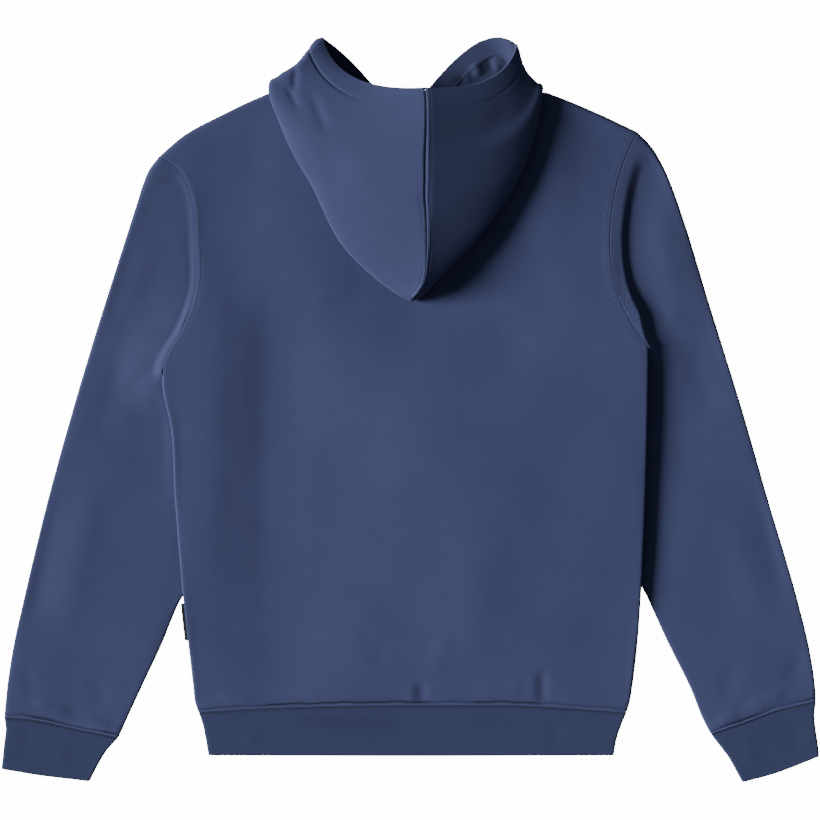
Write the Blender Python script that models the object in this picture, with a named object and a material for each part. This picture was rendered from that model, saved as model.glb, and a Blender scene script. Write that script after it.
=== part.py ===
"""A pullover hoodie of brushed fleece, laid flat on its front with the hood spread over its back.

Run with: blender --background --python part.py

+X is to the right of someone who looks down on the back, +Y runs from the hem to the hood and +Z is up.
The surface it lies on is z = 0, and the origin is under the middle of the whole garment.
Left and right below are as seen from above. Tables are in millimetres; cloth() turns them into metres.
"""

import math

import bmesh
import bpy
import numpy as np

MM = 0.001

# Cloth
FLEECE = 2.0  # thickness of the brushed fleece
RIB = 2.4  # thickness of the ribbed bands
SEAM_GAP = 0.3  # between pieces that are sewn together

# Heights above the surface
FLAT = 7.5  # top of two layers that lie on each other
OVER_SLEEVE = FLAT + 0.8  # underside of the front where it passes over a sleeve
SLEEVE_CLEAR = 18.0  # the front stays up this far past the tucked fold of a sleeve
SLEEVE_SLOPE = 26.0  # and comes down to the surface over this width
ARM_FADE = 70.0  # above the underarm the front comes down over this length

# Rounded edges
FOLD_ROLL = 1.2  # width of the round at the folds of body and sleeves, for each mm of half the height there
SHOULDER_ROLL = 5.0
ROLL_STEPS = 3  # facets of a quarter round
CAP_WIDTH = 11.0  # the sleeve stays level with the armhole seam this far
CAP_DROP = 15.0  # and drops to the lying sleeve over this width
CAP_FADE = 40.0  # this level stretch runs out towards the shoulder and the underarm

# Plan of the body, in points (x, y)
HEM_SEAM = [(-222.4, -317.6), (-148.4, -313.4), (-59.2, -310.8), (10.1, -310.3), (136.1, -311.3),
            (227.0, -317.6)]
LEFT_SIDE = [(-222.4, -317.6), (-225.8, -308.0), (-228.0, -290.0), (-233.3, -242.0), (-237.8, -200.0),
             (-246.6, -95.0), (-252.8, -8.9), (-257.4, 10.0), (-259.6, 24.0), (-259.8, 32.0),
             (-259.7, 40.4)]
RIGHT_SIDE = [(227.0, -317.6), (230.0, -308.0), (233.0, -290.0), (238.4, -242.0), (241.3, -200.0),
              (246.4, -95.0), (248.6, -8.9), (249.3, 24.7), (249.6, 46.0), (249.5, 65.6)]
LEFT_ARMHOLE = [(-263.9, 265.1), (-244.0, 252.5), (-232.4, 232.6), (-225.1, 174.8), (-226.1, 121.3),
                (-239.8, 82.4), (-254.0, 58.0), (-259.7, 40.4)]
RIGHT_ARMHOLE = [(238.0, 291.4), (223.3, 258.8), (212.8, 217.9), (209.0, 170.0), (214.9, 127.6),
                 (229.6, 94.0), (249.5, 65.6)]
LEFT_SHOULDER = [(-263.9, 265.1), (-239.8, 286.1), (-195.7, 310.3), (-165.2, 325.0), (-145.3, 333.4)]
RIGHT_SHOULDER = [(141.4, 333.4), (163.4, 325.0), (199.1, 309.8), (238.0, 291.4)]
BACK_NECK = [(-145.3, 333.4), (-115.9, 321.8), (-42.4, 309.8), (41.6, 309.8), (109.9, 321.8), (141.4, 333.4)]
FRONT_NECK = [(-145.3, 333.4), (-115.9, 320.8), (-37.1, 301.9), (20.6, 301.9), (104.6, 320.8), (141.4, 333.4)]
UNDERARM = 0.6  # the underarm's place on the body, as a share of the way from hem to shoulder
SHOULDER_SHARE = 0.27  # the shoulder's part of the top edge, on each side

# How far the back panel's sides stand above its middle: y, left, right
SIDE_RISE = [
    (-320, 0.0, 0.0),
    (-300, 1.2, 2.6),
    (-280, 2.4, 4.6),
    (-240, 4.6, 6.4),
    (-200, 6.8, 7.6),
    (-140, 8.0, 8.6),
    (-60, 8.6, 9.4),
    (30, 9.2, 10.2),
    (90, 8.6, 9.0),
    (150, 7.6, 7.6),
    (220, 6.4, 6.8),
    (262, 2.8, 4.8),
    (300, 0.0, 1.0),
    (335, 0.0, 0.0),
]
# Where each side has come half way down towards the middle, and over which width: y, left x, width, right x, width
SIDE_SLOPE = [
    (-320, -176, 66, -50, 190),
    (-60, -176, 66, -60, 190),
    (20, -180, 66, -40, 190),
    (60, -186, 60, 0, 180),
    (85, -192, 56, 50, 150),
    (105, -198, 52, 100, 110),
    (130, -204, 50, 150, 80),
    (240, -212, 44, 184, 50),
    (335, -215, 40, 190, 50),
]
FAR_SHARE = 0.35  # the part of the left side's rise that runs out slowly
FAR_SHIFT = 60.0  # whose middle lies this far further in
FAR_WIDTH = 160.0

# Plan of the sleeves: the outer fold from the shoulder to the cuff, and the inner fold from the underarm,
# which tucks under the body and comes out again before the cuff
LEFT_OUTER = [(-263.9, 265.1), (-274.5, 251.0), (-280.9, 235.5), (-287.5, 214.8), (-307.0, 153.8),
              (-332.2, 74.0), (-357.4, -11.0), (-380.5, -95.0), (-405.9, -200.0), (-416.4, -247.3),
              (-423.4, -293.5), (-426.2, -322.9)]
RIGHT_OUTER = [(238.0, 291.4), (253.2, 275.6), (265.6, 254.6), (274.0, 235.5), (285.4, 203.2), (312.5, 115.0),
               (351.4, -11.0), (375.5, -95.0), (406.4, -200.0), (419.0, -252.4), (424.6, -289.0),
               (425.6, -306.1)]
LEFT_INNER = [(-259.7, 40.4), (-260.2, 31.0), (-256.4, 16.0), (-224.0, -39.4), (-195.7, -105.5),
              (-212.5, -166.4), (-241.2, -200.0), (-250.2, -220.0), (-259.0, -242.0), (-281.0, -289.3),
              (-296.5, -322.9), (-306.0, -343.9)]
RIGHT_INNER = [(249.5, 65.6), (250.0, 56.0), (246.4, 41.0), (213.8, -14.2), (185.5, -80.3), (202.3, -141.2),
               (243.6, -188.0), (256.5, -215.0), (269.4, -243.1), (294.5, -294.0), (307.8, -327.0),
               (315.2, -340.7)]
LEFT_CUFF_SEAM = [(-426.2, -322.9), (-396.2, -325.0), (-354.2, -333.9), (-306.0, -343.9)]
RIGHT_CUFF_SEAM = [(425.6, -306.1), (383.9, -316.6), (345.0, -331.0), (315.2, -340.7)]
SLEEVE_UNDERARM = 0.62  # the underarm's place on a sleeve, as a share of the way from cuff to armhole
MET_FROM = 0.7  # from here up to the shoulder, the body's rows meet a sleeve's top row
TOP_OF_SLEEVE = (1 - MET_FROM) / (1 - UNDERARM)  # the share of the armhole that this is

# Plan of the bands: their free edges and ends
HEM_BOTTOM = [(-211.9, -362.8), (0.0, -363.4), (213.4, -362.8)]
HEM_LEFT = [(-222.4, -317.6), (-217.9, -330.5), (-215.6, -341.8), (-211.9, -362.8)]
HEM_RIGHT = [(227.0, -317.6), (221.3, -331.3), (216.4, -346.0), (213.4, -362.8)]
LEFT_CUFF_BOTTOM = [(-429.1, -377.1), (-396.2, -382.7), (-336.4, -390.1)]
LEFT_CUFF_OUTER = [(-426.2, -322.9), (-424.6, -334.0), (-426.3, -350.0), (-429.1, -377.1)]
LEFT_CUFF_INNER = [(-306.0, -343.9), (-318.3, -357.5), (-327.4, -372.2), (-336.4, -390.1)]
RIGHT_CUFF_BOTTOM = [(429.1, -363.8), (379.7, -382.7), (348.2, -391.1)]
RIGHT_CUFF_OUTER = [(425.6, -306.1), (424.0, -321.0), (425.3, -335.0), (427.6, -350.0), (429.1, -363.8)]
RIGHT_CUFF_INNER = [(315.2, -340.7), (324.1, -352.3), (333.7, -364.9), (341.9, -379.6), (348.2, -391.1)]

# The hood's halves in strips that run beside the face edge, from the neck seam round the outer fold to the
# centre seam. place is 0 at the face edge and 1 at the nape. crest is the height of the upper layer just
# inside the fold; under and over are the widths of the round below and above the fold.
HOOD_COLUMNS = ("place", "neck_x", "neck_y", "neck_z", "fold_x", "fold_y", "fold_z",
                "seam_x", "seam_y", "seam_z", "crest", "under", "over")
HOOD_LEFT = [
    (0.000, -9.0, 299.8, 2.4, -91.0, 390.2, 13.0, 15.4, 334.6, 56.0, 28.0, 12.0, 14.0),
    (0.060, -10.0, 299.8, 2.4, -99.8, 387.0, 13.5, 16.0, 328.0, 56.5, 30.0, 12.0, 14.0),
    (0.120, -14.0, 299.9, 2.4, -107.3, 377.0, 14.0, 16.5, 321.2, 57.0, 33.0, 11.0, 14.0),
    (0.250, -37.0, 302.1, 2.4, -119.6, 361.5, 16.0, 17.0, 303.4, 58.0, 37.0, 10.0, 14.0),
    (0.380, -79.0, 309.4, 2.4, -138.0, 349.0, 18.0, 16.8, 284.6, 58.0, 40.0, 9.0, 14.0),
    (0.500, -146.2, 339.3, 5.0, -148.2, 336.3, 22.0, 16.0, 260.9, 57.0, 43.0, 5.0, 14.0),
    (0.520, -145.0, 338.0, 8.0, -148.0, 330.0, 22.5, 16.0, 256.0, 56.5, 43.0, 6.0, 14.0),
    (0.570, -128.0, 327.0, 8.0, -141.6, 312.4, 24.0, 16.0, 243.2, 55.0, 43.0, 8.0, 14.0),
    (0.650, -98.0, 318.0, 8.0, -127.6, 278.2, 25.0, 15.6, 221.6, 52.0, 42.0, 10.0, 14.0),
    (0.730, -66.0, 312.5, 8.0, -103.8, 234.6, 25.0, 17.0, 198.0, 48.0, 40.0, 10.0, 14.0),
    (0.810, -38.0, 310.0, 8.0, -74.5, 176.0, 24.0, 17.2, 162.6, 42.0, 36.0, 10.0, 13.0),
    (0.890, -20.0, 309.0, 8.0, -38.0, 137.8, 22.0, 14.0, 134.0, 35.0, 31.0, 9.0, 10.0),
    (0.950, -9.0, 308.5, 8.0, -12.0, 119.0, 18.0, 6.5, 120.3, 28.0, 25.0, 8.0, 7.0),
    (1.000, 2.0, 308.2, 8.0, 2.0, 112.8, 15.0, 2.0, 117.0, 23.0, 21.0, 7.0, 4.0),
]
HOOD_RIGHT = [
    (0.000, -8.5, 299.8, 2.4, 111.6, 382.0, 20.0, 15.4, 334.6, 56.0, 31.0, 40.0, 11.0),
    (0.060, -5.0, 299.8, 2.4, 114.0, 375.4, 19.5, 16.0, 328.0, 56.5, 30.0, 35.0, 11.0),
    (0.120, 0.0, 299.9, 2.4, 115.8, 368.2, 18.5, 16.5, 321.2, 57.0, 28.5, 30.0, 10.0),
    (0.250, 20.0, 302.1, 2.4, 121.6, 354.2, 16.0, 17.0, 303.4, 58.0, 25.0, 20.0, 9.0),
    (0.380, 66.0, 310.2, 2.4, 131.7, 343.0, 14.0, 16.8, 284.6, 58.0, 21.0, 12.0, 8.5),
    (0.500, 137.0, 338.6, 5.0, 138.9, 335.6, 13.4, 16.0, 260.9, 57.0, 19.0, 5.0, 8.0),
    (0.520, 137.4, 337.4, 8.0, 139.0, 330.4, 13.2, 16.0, 256.0, 56.5, 18.6, 6.0, 8.0),
    (0.570, 124.0, 327.0, 8.0, 136.8, 316.8, 13.0, 16.0, 243.2, 55.0, 18.2, 7.0, 8.0),
    (0.650, 98.0, 318.0, 8.0, 129.8, 287.2, 13.0, 15.6, 221.6, 52.0, 18.0, 8.0, 8.0),
    (0.730, 68.0, 312.5, 8.0, 111.9, 242.4, 13.0, 17.0, 198.0, 48.0, 18.0, 8.0, 8.0),
    (0.810, 42.0, 310.0, 8.0, 80.8, 199.5, 13.4, 17.2, 162.6, 42.0, 19.0, 8.0, 8.0),
    (0.890, 24.0, 309.0, 8.0, 40.7, 154.4, 14.0, 14.0, 134.0, 35.0, 20.5, 7.0, 7.0),
    (0.950, 13.0, 308.5, 8.0, 17.0, 122.4, 14.5, 6.5, 120.3, 28.0, 21.5, 7.0, 6.0),
    (1.000, 2.0, 308.2, 8.0, 2.0, 112.8, 15.0, 2.0, 117.0, 23.0, 21.0, 7.0, 4.0),
]
LOBE_LOW = 0.6  # the hood's under layer lies this high beyond the neck
FACE_BOW = {"left": (-1.0, 17.0), "right": (23.5, 79.6)}  # how the lower face edge bows out
BOW_FADE = 0.35  # place at which that bow has run out
OVER_LEAN = (0.13, 0.08)  # bend of the upper layer's strips: share across, share past the seam

# Side label
LABEL_Y = (-242.0, -203.0)
LABEL_OUT = 3.2
LABEL_THICK = 1.2

# Facets
BODY_ROWS = [0.0, 0.02, 0.06, 0.12, 0.19, 0.25, 0.3, 0.35, 0.41, 0.47, 0.53, 0.57, 0.6]
ARM_ROWS = [0.61, 0.625, 0.64, 0.655, 0.67, 0.685, 0.7, 0.735, 0.77, 0.81, 0.85, 0.89, 0.925, 0.955, 0.98]
BODY_STEPS = 15
SLEEVE_ROWS = [0.0, 0.04, 0.1, 0.18, 0.26, 0.34, 0.41, 0.47, 0.52, 0.56, 0.59, 0.61, 0.62]
SLEEVE_STEPS = 6
CROWDING = 0.5  # how far the columns crowd towards the sides
BAND_ROWS = 4
CUFF_STEPS = 6
HOOD_ROWS = [0.0, 0.06, 0.12, 0.18, 0.25, 0.32, 0.38, 0.44, 0.47, 0.5, 0.52, 0.57, 0.61, 0.65, 0.69, 0.73,
             0.77, 0.81, 0.85, 0.89, 0.92, 0.95, 0.975, 1.0]
HOOD_UNDER = 4
HOOD_OVER = 6

NAVY = (0.051, 0.076, 0.162)
NAVY_RIB = (0.042, 0.062, 0.135)
LABEL_BLACK = (0.008, 0.008, 0.010)


def ease(share):
    """Rises smoothly from 0 to 1 as the share does."""
    share = np.clip(share, 0, 1)
    return share * share * (3 - 2 * share)


def smooth(knots, values, at):
    """Reads a smooth curve through the values, which stand at the knots."""
    knots = np.asarray(knots, float)
    values = np.asarray(values, float).reshape(len(knots), -1)
    at = np.clip(np.asarray(at, float), knots[0], knots[-1])
    span = np.diff(knots)[:, None]
    slope = np.diff(values, axis=0) / span
    middle = (slope[:-1] * span[1:] + slope[1:] * span[:-1]) / (span[:-1] + span[1:])
    tangent = np.concatenate([slope[:1], middle, slope[-1:]])
    i = np.clip(np.searchsorted(knots, at, side="right") - 1, 0, len(knots) - 2)
    s = (at - knots[i])[..., None] / span[i]
    start = (1 + 2 * s) * (1 - s) ** 2 * values[i] + s * (1 - s) ** 2 * span[i] * tangent[i]
    end = s**2 * (3 - 2 * s) * values[i + 1] - s**2 * (1 - s) * span[i] * tangent[i + 1]
    return start + end


def curve(points):
    """A smooth curve through plan points, as a function of the share 0 to 1 along it."""
    points = np.array(points, float)
    steps = np.hypot(*np.diff(points, axis=0).T)
    knots = np.concatenate([[0], np.cumsum(steps)]) / steps.sum()
    return lambda share: smooth(knots, points, share)


def chain(first, second, share_of_first):
    """Two curves end to end, as one."""
    def both(share):
        share = np.asarray(share, float)
        before = first(share / share_of_first)
        after = second((share - share_of_first) / (1 - share_of_first))
        return np.where((share < share_of_first)[..., None], before, after)

    return both


def backwards(one):
    return lambda share: one(1 - np.asarray(share, float))


def beside(one, share, distance):
    """The plan steps from points of a curve to its right-hand side, or to its left if negative."""
    ahead = one(np.clip(share + 0.01, 0, 1)) - one(np.clip(share - 0.01, 0, 1))
    ahead /= np.hypot(ahead[..., 0], ahead[..., 1])[..., None]
    return distance * np.stack([ahead[..., 1], -ahead[..., 0]], axis=-1)


def length(one):
    points = one(np.linspace(0, 1, 101))
    return np.hypot(*np.diff(points, axis=0).T).sum()


def panel(low, high, left, right):
    """The plan of a panel inside its four edges, as a function of the shares across (u) and up (v)."""
    def plan(u, v):
        across, up = u[..., None], v[..., None]
        sides = (1 - across) * left(v) + across * right(v)
        ends = (1 - up) * low(u) + up * high(u)
        corners = (1 - up) * ((1 - across) * low(0.0) + across * low(1.0)) \
            + up * ((1 - across) * high(0.0) + across * high(1.0))
        return sides + ends - corners

    return plan


def across(width, first_roll, last_roll, steps):
    """Shares across a flattened piece, close together in the round at each fold, and each one's lift."""
    turn = np.linspace(0, math.pi / 2, ROLL_STEPS + 1)
    first = first_roll * (1 - np.cos(turn)) / width
    last = 1 - last_roll * (1 - np.cos(turn[::-1])) / width
    spread = np.arange(1, steps) / steps
    spread = spread - CROWDING * np.sin(2 * math.pi * spread) / (2 * math.pi)
    middle = first[-1] + (last[0] - first[-1]) * spread
    shares = np.concatenate([first, middle, last])
    lift = np.concatenate([np.sin(turn), np.ones(len(middle)), np.sin(turn)[::-1]])
    return shares, lift


def table(rows, at):
    """Reads a table whose first column is y, at the given y."""
    rows = np.array(rows, float)
    return smooth(rows[:, 0], rows[:, 1:], at)


def unit(vectors):
    """The plan directions of the vectors, as vectors in space."""
    level = np.zeros((*vectors.shape[:-1], 3))
    level[..., :2] = vectors[..., :2] / np.hypot(vectors[..., 0], vectors[..., 1])[..., None]
    return level


def layer(shape, heights, rows, steps, upper, apart=0.0):
    """The upper or lower layer of a flattened tube, as rows of points in space from its low to its high edge.

    heights gives the tube's top and underside at plan points. Where shape says that a side opens, as at an
    armhole, the layer isn't rounded down to the fold there. apart is half the gap between the layers' edges.
    Also returns the ways across its seams and a mark on each point that lies in a fold."""
    plan = panel(*shape["edges"])
    sheet, folds = [], []
    for v in rows:
        ends = plan(np.array([0.0, 1.0]), np.array([v, v]))
        top, low = heights(ends)
        rolls = FOLD_ROLL / 2 * (top - low)
        u, lift = across(np.hypot(*(ends[1] - ends[0])), *rolls, steps)
        if "top_row" in shape:
            u = u + (shape["top_row"] - u) * ease((v - shape["opens"][1]) / (1 - shape["opens"][1]))
        opened = [rounded((v - share) * shape["rise"] / roll) for share, roll in zip(shape["opens"], rolls)]
        side = 1 - (1 - lift) * (1 - np.where(u < 0.5, *opened))
        flat = plan(u, np.full(len(u), v))
        if "clear" in shape:
            flat = flat + shape["clear"](u, v)
        top, low = heights(flat)
        half = (top - low) / 2 * side * shape.get("closing", lambda u, v: 1.0)(u, v)
        z = (top + low) / 2 + np.maximum(half, apart) * (1 if upper else -1)
        sheet.append(np.column_stack([flat, z]))
        folds.append(half < max(apart, 0.01))
    sheet, rows = np.array(sheet), np.asarray(rows)
    ways = [(0, slice(None), unit(sheet[1] - sheet[0]))]
    if "clear" in shape:
        ways.append((-1, slice(None), unit(shape["clear"](u, 1.0))))
    for column, share in zip((0, -1), shape["opens"]):
        open_rows = np.flatnonzero((rows > share) & (rows <= 1))
        along = np.gradient(sheet[:, column, :2], axis=0)[open_rows]
        ways.append((open_rows, column, unit(np.stack([along[:, 1], -along[:, 0]], axis=-1))))
    return sheet, ways, np.array(folds)


def rounded(share):
    """Height of a quarter round at a share of its width from the fold."""
    return np.sqrt(1 - (1 - np.clip(share, 0, 1)) ** 2)


# Body

def tuck_line(inner):
    """The x of a sleeve's inner fold, as a function of y."""
    points = np.array(inner, float)[::-1]
    return lambda y: smooth(points[:, 1], points[:, 0], y)[..., 0]


left_tuck, right_tuck = tuck_line(LEFT_INNER), tuck_line(RIGHT_INNER)
arm_length = length(curve(LEFT_ARMHOLE))


def back_height(x, y):
    """Top of the back panel: level in the middle and raised at both sides, over the tucked sleeves."""
    rise, slope = table(SIDE_RISE, y), table(SIDE_SLOPE, y)
    inwards = x - slope[..., 0]
    near = 1 - ease(inwards / slope[..., 1] + 0.5)
    far = 1 - ease((inwards - FAR_SHIFT) / FAR_WIDTH + 0.5)
    left = rise[..., 0] * ((1 - FAR_SHARE) * near + FAR_SHARE * far)
    right = rise[..., 1] * ease((x - slope[..., 2]) / slope[..., 3] + 0.5)
    return FLAT + left + right


def front_height(x, y):
    """Underside of the front panel: on the surface in the middle, over the tucked sleeves at both edges."""
    left_gate = 1 - ease((y - LEFT_INNER[0][1]) / ARM_FADE)
    right_gate = 1 - ease((y - RIGHT_INNER[0][1]) / ARM_FADE)
    left = left_gate * (1 - ease((x - left_tuck(y) - SLEEVE_CLEAR) / SLEEVE_SLOPE))
    right = right_gate * (1 - ease((right_tuck(y) - x - SLEEVE_CLEAR) / SLEEVE_SLOPE))
    return OVER_SLEEVE * np.clip(left + right, 0, 1)


def body_heights(flat):
    return np.array([back_height(flat[:, 0], flat[:, 1]), front_height(flat[:, 0], flat[:, 1])])


def body_rows():
    """The body's rows from hem to shoulder, close together in the round of the shoulder."""
    turn = np.linspace(math.pi / 2, 0, ROLL_STEPS + 1)
    shoulder = 1 - (1 - UNDERARM) * SHOULDER_ROLL / arm_length * (1 - np.cos(turn))
    return np.concatenate([BODY_ROWS, ARM_ROWS, shoulder])


def body_shape(neck):
    """The body's plan, which opens along both armholes and is closed along both shoulders."""
    left = chain(curve(LEFT_SIDE), backwards(curve(LEFT_ARMHOLE)), UNDERARM)
    right = chain(curve(RIGHT_SIDE), backwards(curve(RIGHT_ARMHOLE)), UNDERARM)
    high = chain(chain(curve(LEFT_SHOULDER), curve(neck), SHOULDER_SHARE / (1 - SHOULDER_SHARE)),
                 curve(RIGHT_SHOULDER), 1 - SHOULDER_SHARE)
    rise = arm_length / (1 - UNDERARM)

    def closing(u, v):
        shoulder = 1 - ease((np.minimum(u, 1 - u) - SHOULDER_SHARE + 0.02) / 0.03)
        return 1 - (1 - rounded((1 - v) * rise / SHOULDER_ROLL)) * shoulder

    return {"edges": (curve(HEM_SEAM), high, left, right), "opens": (UNDERARM, UNDERARM), "rise": rise,
            "closing": closing}


# Sleeves

def sleeve_heights(armhole):
    """Top and underside of a lying sleeve: level with the body at the armhole, then two flat layers."""
    seam = curve(armhole)
    shares = np.linspace(0, 1, 81)
    points = seam(shares)
    walked = shares * length(seam)
    edge_top, edge_low = body_heights(points)

    def heights(flat):
        far = np.hypot(flat[:, None, 0] - points[:, 0], flat[:, None, 1] - points[:, 1])
        near = far.argmin(axis=1)
        from_end = np.minimum(walked[near], walked[-1] - walked[near])
        level = CAP_WIDTH * ease(from_end / CAP_FADE)
        stay = 1 - ease((far.min(axis=1) - level) / CAP_DROP)
        return np.array([FLAT + (edge_top[near] - FLAT) * stay, edge_low[near] * stay])

    return heights


def sleeve_shape(armhole, outer, inner, cuff_seam, facing):
    """A sleeve's plan: up one side the outer fold, up the other the inner fold and then the lower armhole."""
    seam = curve(armhole)
    lower = lambda share: seam(1 - (1 - TOP_OF_SLEEVE) * np.asarray(share, float))
    upper = lambda share: seam(TOP_OF_SLEEVE * np.asarray(share, float))
    inner_side = chain(backwards(curve(inner)), lower, SLEEVE_UNDERARM)
    met = np.array([row for row in body_rows() if row >= MET_FROM])[::-1]
    top_row = (1 - met) / (1 - UNDERARM) / TOP_OF_SLEEVE

    def clear(u, v):
        if v == 1:
            return beside(seam, TOP_OF_SLEEVE * u, facing * SEAM_GAP)
        along = 1 - (1 - TOP_OF_SLEEVE) * max(0, (v - SLEEVE_UNDERARM) / (1 - SLEEVE_UNDERARM))
        at_side = ease(20 * u - 19) * ease((v - SLEEVE_UNDERARM) / 0.03 + 1)
        return at_side[:, None] * beside(seam, along, facing * SEAM_GAP)

    rise = (1 - TOP_OF_SLEEVE) * length(seam) / (1 - SLEEVE_UNDERARM)
    return {"edges": (curve(cuff_seam), upper, backwards(curve(outer)), inner_side),
            "opens": (2.0, SLEEVE_UNDERARM), "rise": rise, "top_row": top_row, "clear": clear}


def sleeve_rows():
    """A sleeve's rows from the cuff up; along the lower armhole they meet the body's rows."""
    arm = np.array([row for row in ARM_ROWS if row <= MET_FROM])
    share = (arm - UNDERARM) / (1 - UNDERARM) / (1 - TOP_OF_SLEEVE)
    return np.concatenate([SLEEVE_ROWS, SLEEVE_UNDERARM + (1 - SLEEVE_UNDERARM) * share])


# Bands

def band_shape(low, high, left, right, facing):
    """A ribbed band's plan, just clear of the seam above it."""
    seam = curve(high)

    def clear(u, v):
        return beside(seam, u, facing * SEAM_GAP) * ease((v - 1) * 10 + 1)

    return {"edges": (curve(low), seam, backwards(curve(left)), backwards(curve(right))), "opens": (2.0, 2.0),
            "rise": 1.0, "clear": clear}


def flat_heights(flat):
    return np.array([np.full(len(flat), FLAT), np.zeros(len(flat))])


# Hood

def bend(start, middle, end, shares):
    """Points at even shares of length along a plan curve from start to end that leans towards middle."""
    s = np.linspace(0, 1, 41)[:, None]
    line = (1 - s) ** 2 * start + 2 * s * (1 - s) * middle + s**2 * end
    walked = np.concatenate([[0], np.cumsum(np.hypot(*np.diff(line, axis=0).T))])
    at = np.asarray(shares) * walked[-1]
    return np.column_stack([np.interp(at, walked, line[:, 0]), np.interp(at, walked, line[:, 1])]), walked[-1]


def hood_strip(row, side):
    """One strip of a hood half, from the neck seam, round the outer fold and up to the centre seam."""
    neck = np.array([row["neck_x"], row["neck_y"]])
    fold = np.array([row["fold_x"], row["fold_y"]])
    seam = np.array([row["seam_x"], row["seam_y"]])
    apart = SEAM_GAP / 2 * (1 if side == "right" else -1)
    seam[0] += apart
    neck[0] += apart * ease((row["place"] - 0.9) / 0.1)
    fold[0] += apart * ease((row["place"] - 0.9) / 0.1)
    turn = np.linspace(0, math.pi / 2, ROLL_STEPS + 1)

    bow = np.array(FACE_BOW[side]) * (1 - ease(row["place"] / BOW_FADE))
    middle = (neck + fold) / 2 + bow
    span = bend(neck, middle, fold, [0])[1]
    roll = min(row["under"], 0.8 * span) / max(span, 1e-6)
    shares = np.concatenate([np.linspace(0, 1 - roll, HOOD_UNDER + 1), 1 - roll * (1 - np.cos(turn[-2::-1]))])
    sink = np.concatenate([np.ones(HOOD_UNDER + 1), np.sin(turn[-2::-1])])
    beyond_neck = ease(shares / 0.5) * (row["place"] < 0.5) * (1 - ease(row["place"] / 0.5))
    lying = row["neck_z"] + (LOBE_LOW - row["neck_z"]) * beyond_neck
    sunk = row["fold_z"] - (row["fold_z"] - lying) * sink
    under = np.column_stack([bend(neck, middle, fold, shares)[0], sunk])

    lean = np.array([fold[0], seam[1]]) + np.array(OVER_LEAN) * (seam - fold)
    span = bend(fold, lean, seam, [0])[1]
    roll = min(row["over"], 0.8 * span) / max(span, 1e-6)
    shares = np.concatenate([roll * (1 - np.cos(turn)), np.linspace(roll, 1, HOOD_OVER + 1)[1:]])
    lift = np.concatenate([np.sin(turn), np.ones(HOOD_OVER)])
    slope = row["crest"] + (row["seam_z"] - row["crest"]) * shares
    risen = row["fold_z"] + (slope - row["fold_z"]) * lift
    over = np.column_stack([bend(fold, lean, seam, shares)[0], risen])
    return np.concatenate([under, over[1:]])


def hood_sheet(rows, side):
    """The outer face of a hood half, a strip for each place from the face edge to the nape."""
    rows = np.array(rows, float)
    strips = []
    for place in HOOD_ROWS:
        values = smooth(rows[:, 0], rows, place)
        strips.append(hood_strip(dict(zip(HOOD_COLUMNS, values)), side))
    return np.array(strips)


# Walls and objects

def inner_face(outer, thickness, facing, seams=(), folds=None):
    """Moves the outer face in by the wall. seams lists (rows, columns, way across that seam), along which the
    wall's edge stays square to the seam; at the points marked in folds the wall goes in level."""
    normal = np.cross(np.gradient(outer, axis=1), np.gradient(outer, axis=0)) * facing
    normal[np.linalg.norm(normal, axis=-1) < 1e-6] = (0, 0, 1)
    normal /= np.linalg.norm(normal, axis=-1)[..., None]
    if folds is not None:
        normal[folds] *= (1, 1, 0)
        normal[folds] /= np.linalg.norm(normal[folds], axis=-1)[..., None]
    for rows, columns, way in seams:
        edge = normal[rows, columns]
        edge = edge - (edge * way).sum(axis=-1)[..., None] * way
        normal[rows, columns] = edge / np.maximum(np.linalg.norm(edge, axis=-1), 1e-6)[..., None]
    return outer - thickness * normal


def paint(name, colour, roughness):
    material = bpy.data.materials.new(name)
    material.use_nodes = True
    shader = material.node_tree.nodes["Principled BSDF"]
    shader.inputs["Base Color"].default_value = (*colour, 1)
    shader.inputs["Roughness"].default_value = roughness
    shader.inputs["Metallic"].default_value = 0.0
    return material


def place_object(name, mesh, material):
    data = bpy.data.meshes.new(name)
    mesh.to_mesh(data)
    mesh.free()
    data.shade_smooth()
    data.materials.append(material)
    bpy.context.collection.objects.link(bpy.data.objects.new(name, data))


def cloth(name, outer, inner, material):
    """One closed piece of cloth from the points of its outer and inner faces."""
    rows, columns = outer.shape[:2]
    mesh = bmesh.new()
    bmesh.ops.create_grid(mesh, x_segments=columns - 1, y_segments=rows - 1, size=1)
    inside = mesh.verts.layers.float_vector.new("inside")
    mesh.verts.ensure_lookup_table()
    for i, (out_point, in_point) in enumerate(zip(outer.reshape(-1, 3) * MM, inner.reshape(-1, 3) * MM)):
        mesh.verts[i].co = out_point
        mesh.verts[i][inside] = in_point
    bmesh.ops.remove_doubles(mesh, verts=mesh.verts, dist=0.01 * MM)
    everything = mesh.verts[:] + mesh.edges[:] + mesh.faces[:]
    made = bmesh.ops.extrude_face_region(mesh, geom=everything, use_keep_orig=True)
    for vertex in made["geom"]:
        if isinstance(vertex, bmesh.types.BMVert):
            vertex.co = vertex[inside]
    bmesh.ops.recalc_face_normals(mesh, faces=mesh.faces)
    place_object(name, mesh, material)


def flat_tube(name, shape, heights, rows, steps, thickness, facing, material):
    """A tube of cloth that lies flat: its upper layer, then the lower one back to where it began."""
    outer, inner = [], []
    for upper, way in ((True, slice(None)), (False, slice(None, None, -1))):
        sheet, seams, folds = layer(shape, heights, rows, steps, upper)
        inside = inner_face(sheet, thickness, facing if upper else -facing, seams, folds)
        outer.append(sheet[:, way])
        inner.append(inside[:, way])
    cloth(name, np.concatenate(outer, axis=1), np.concatenate(inner, axis=1), material)


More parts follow.
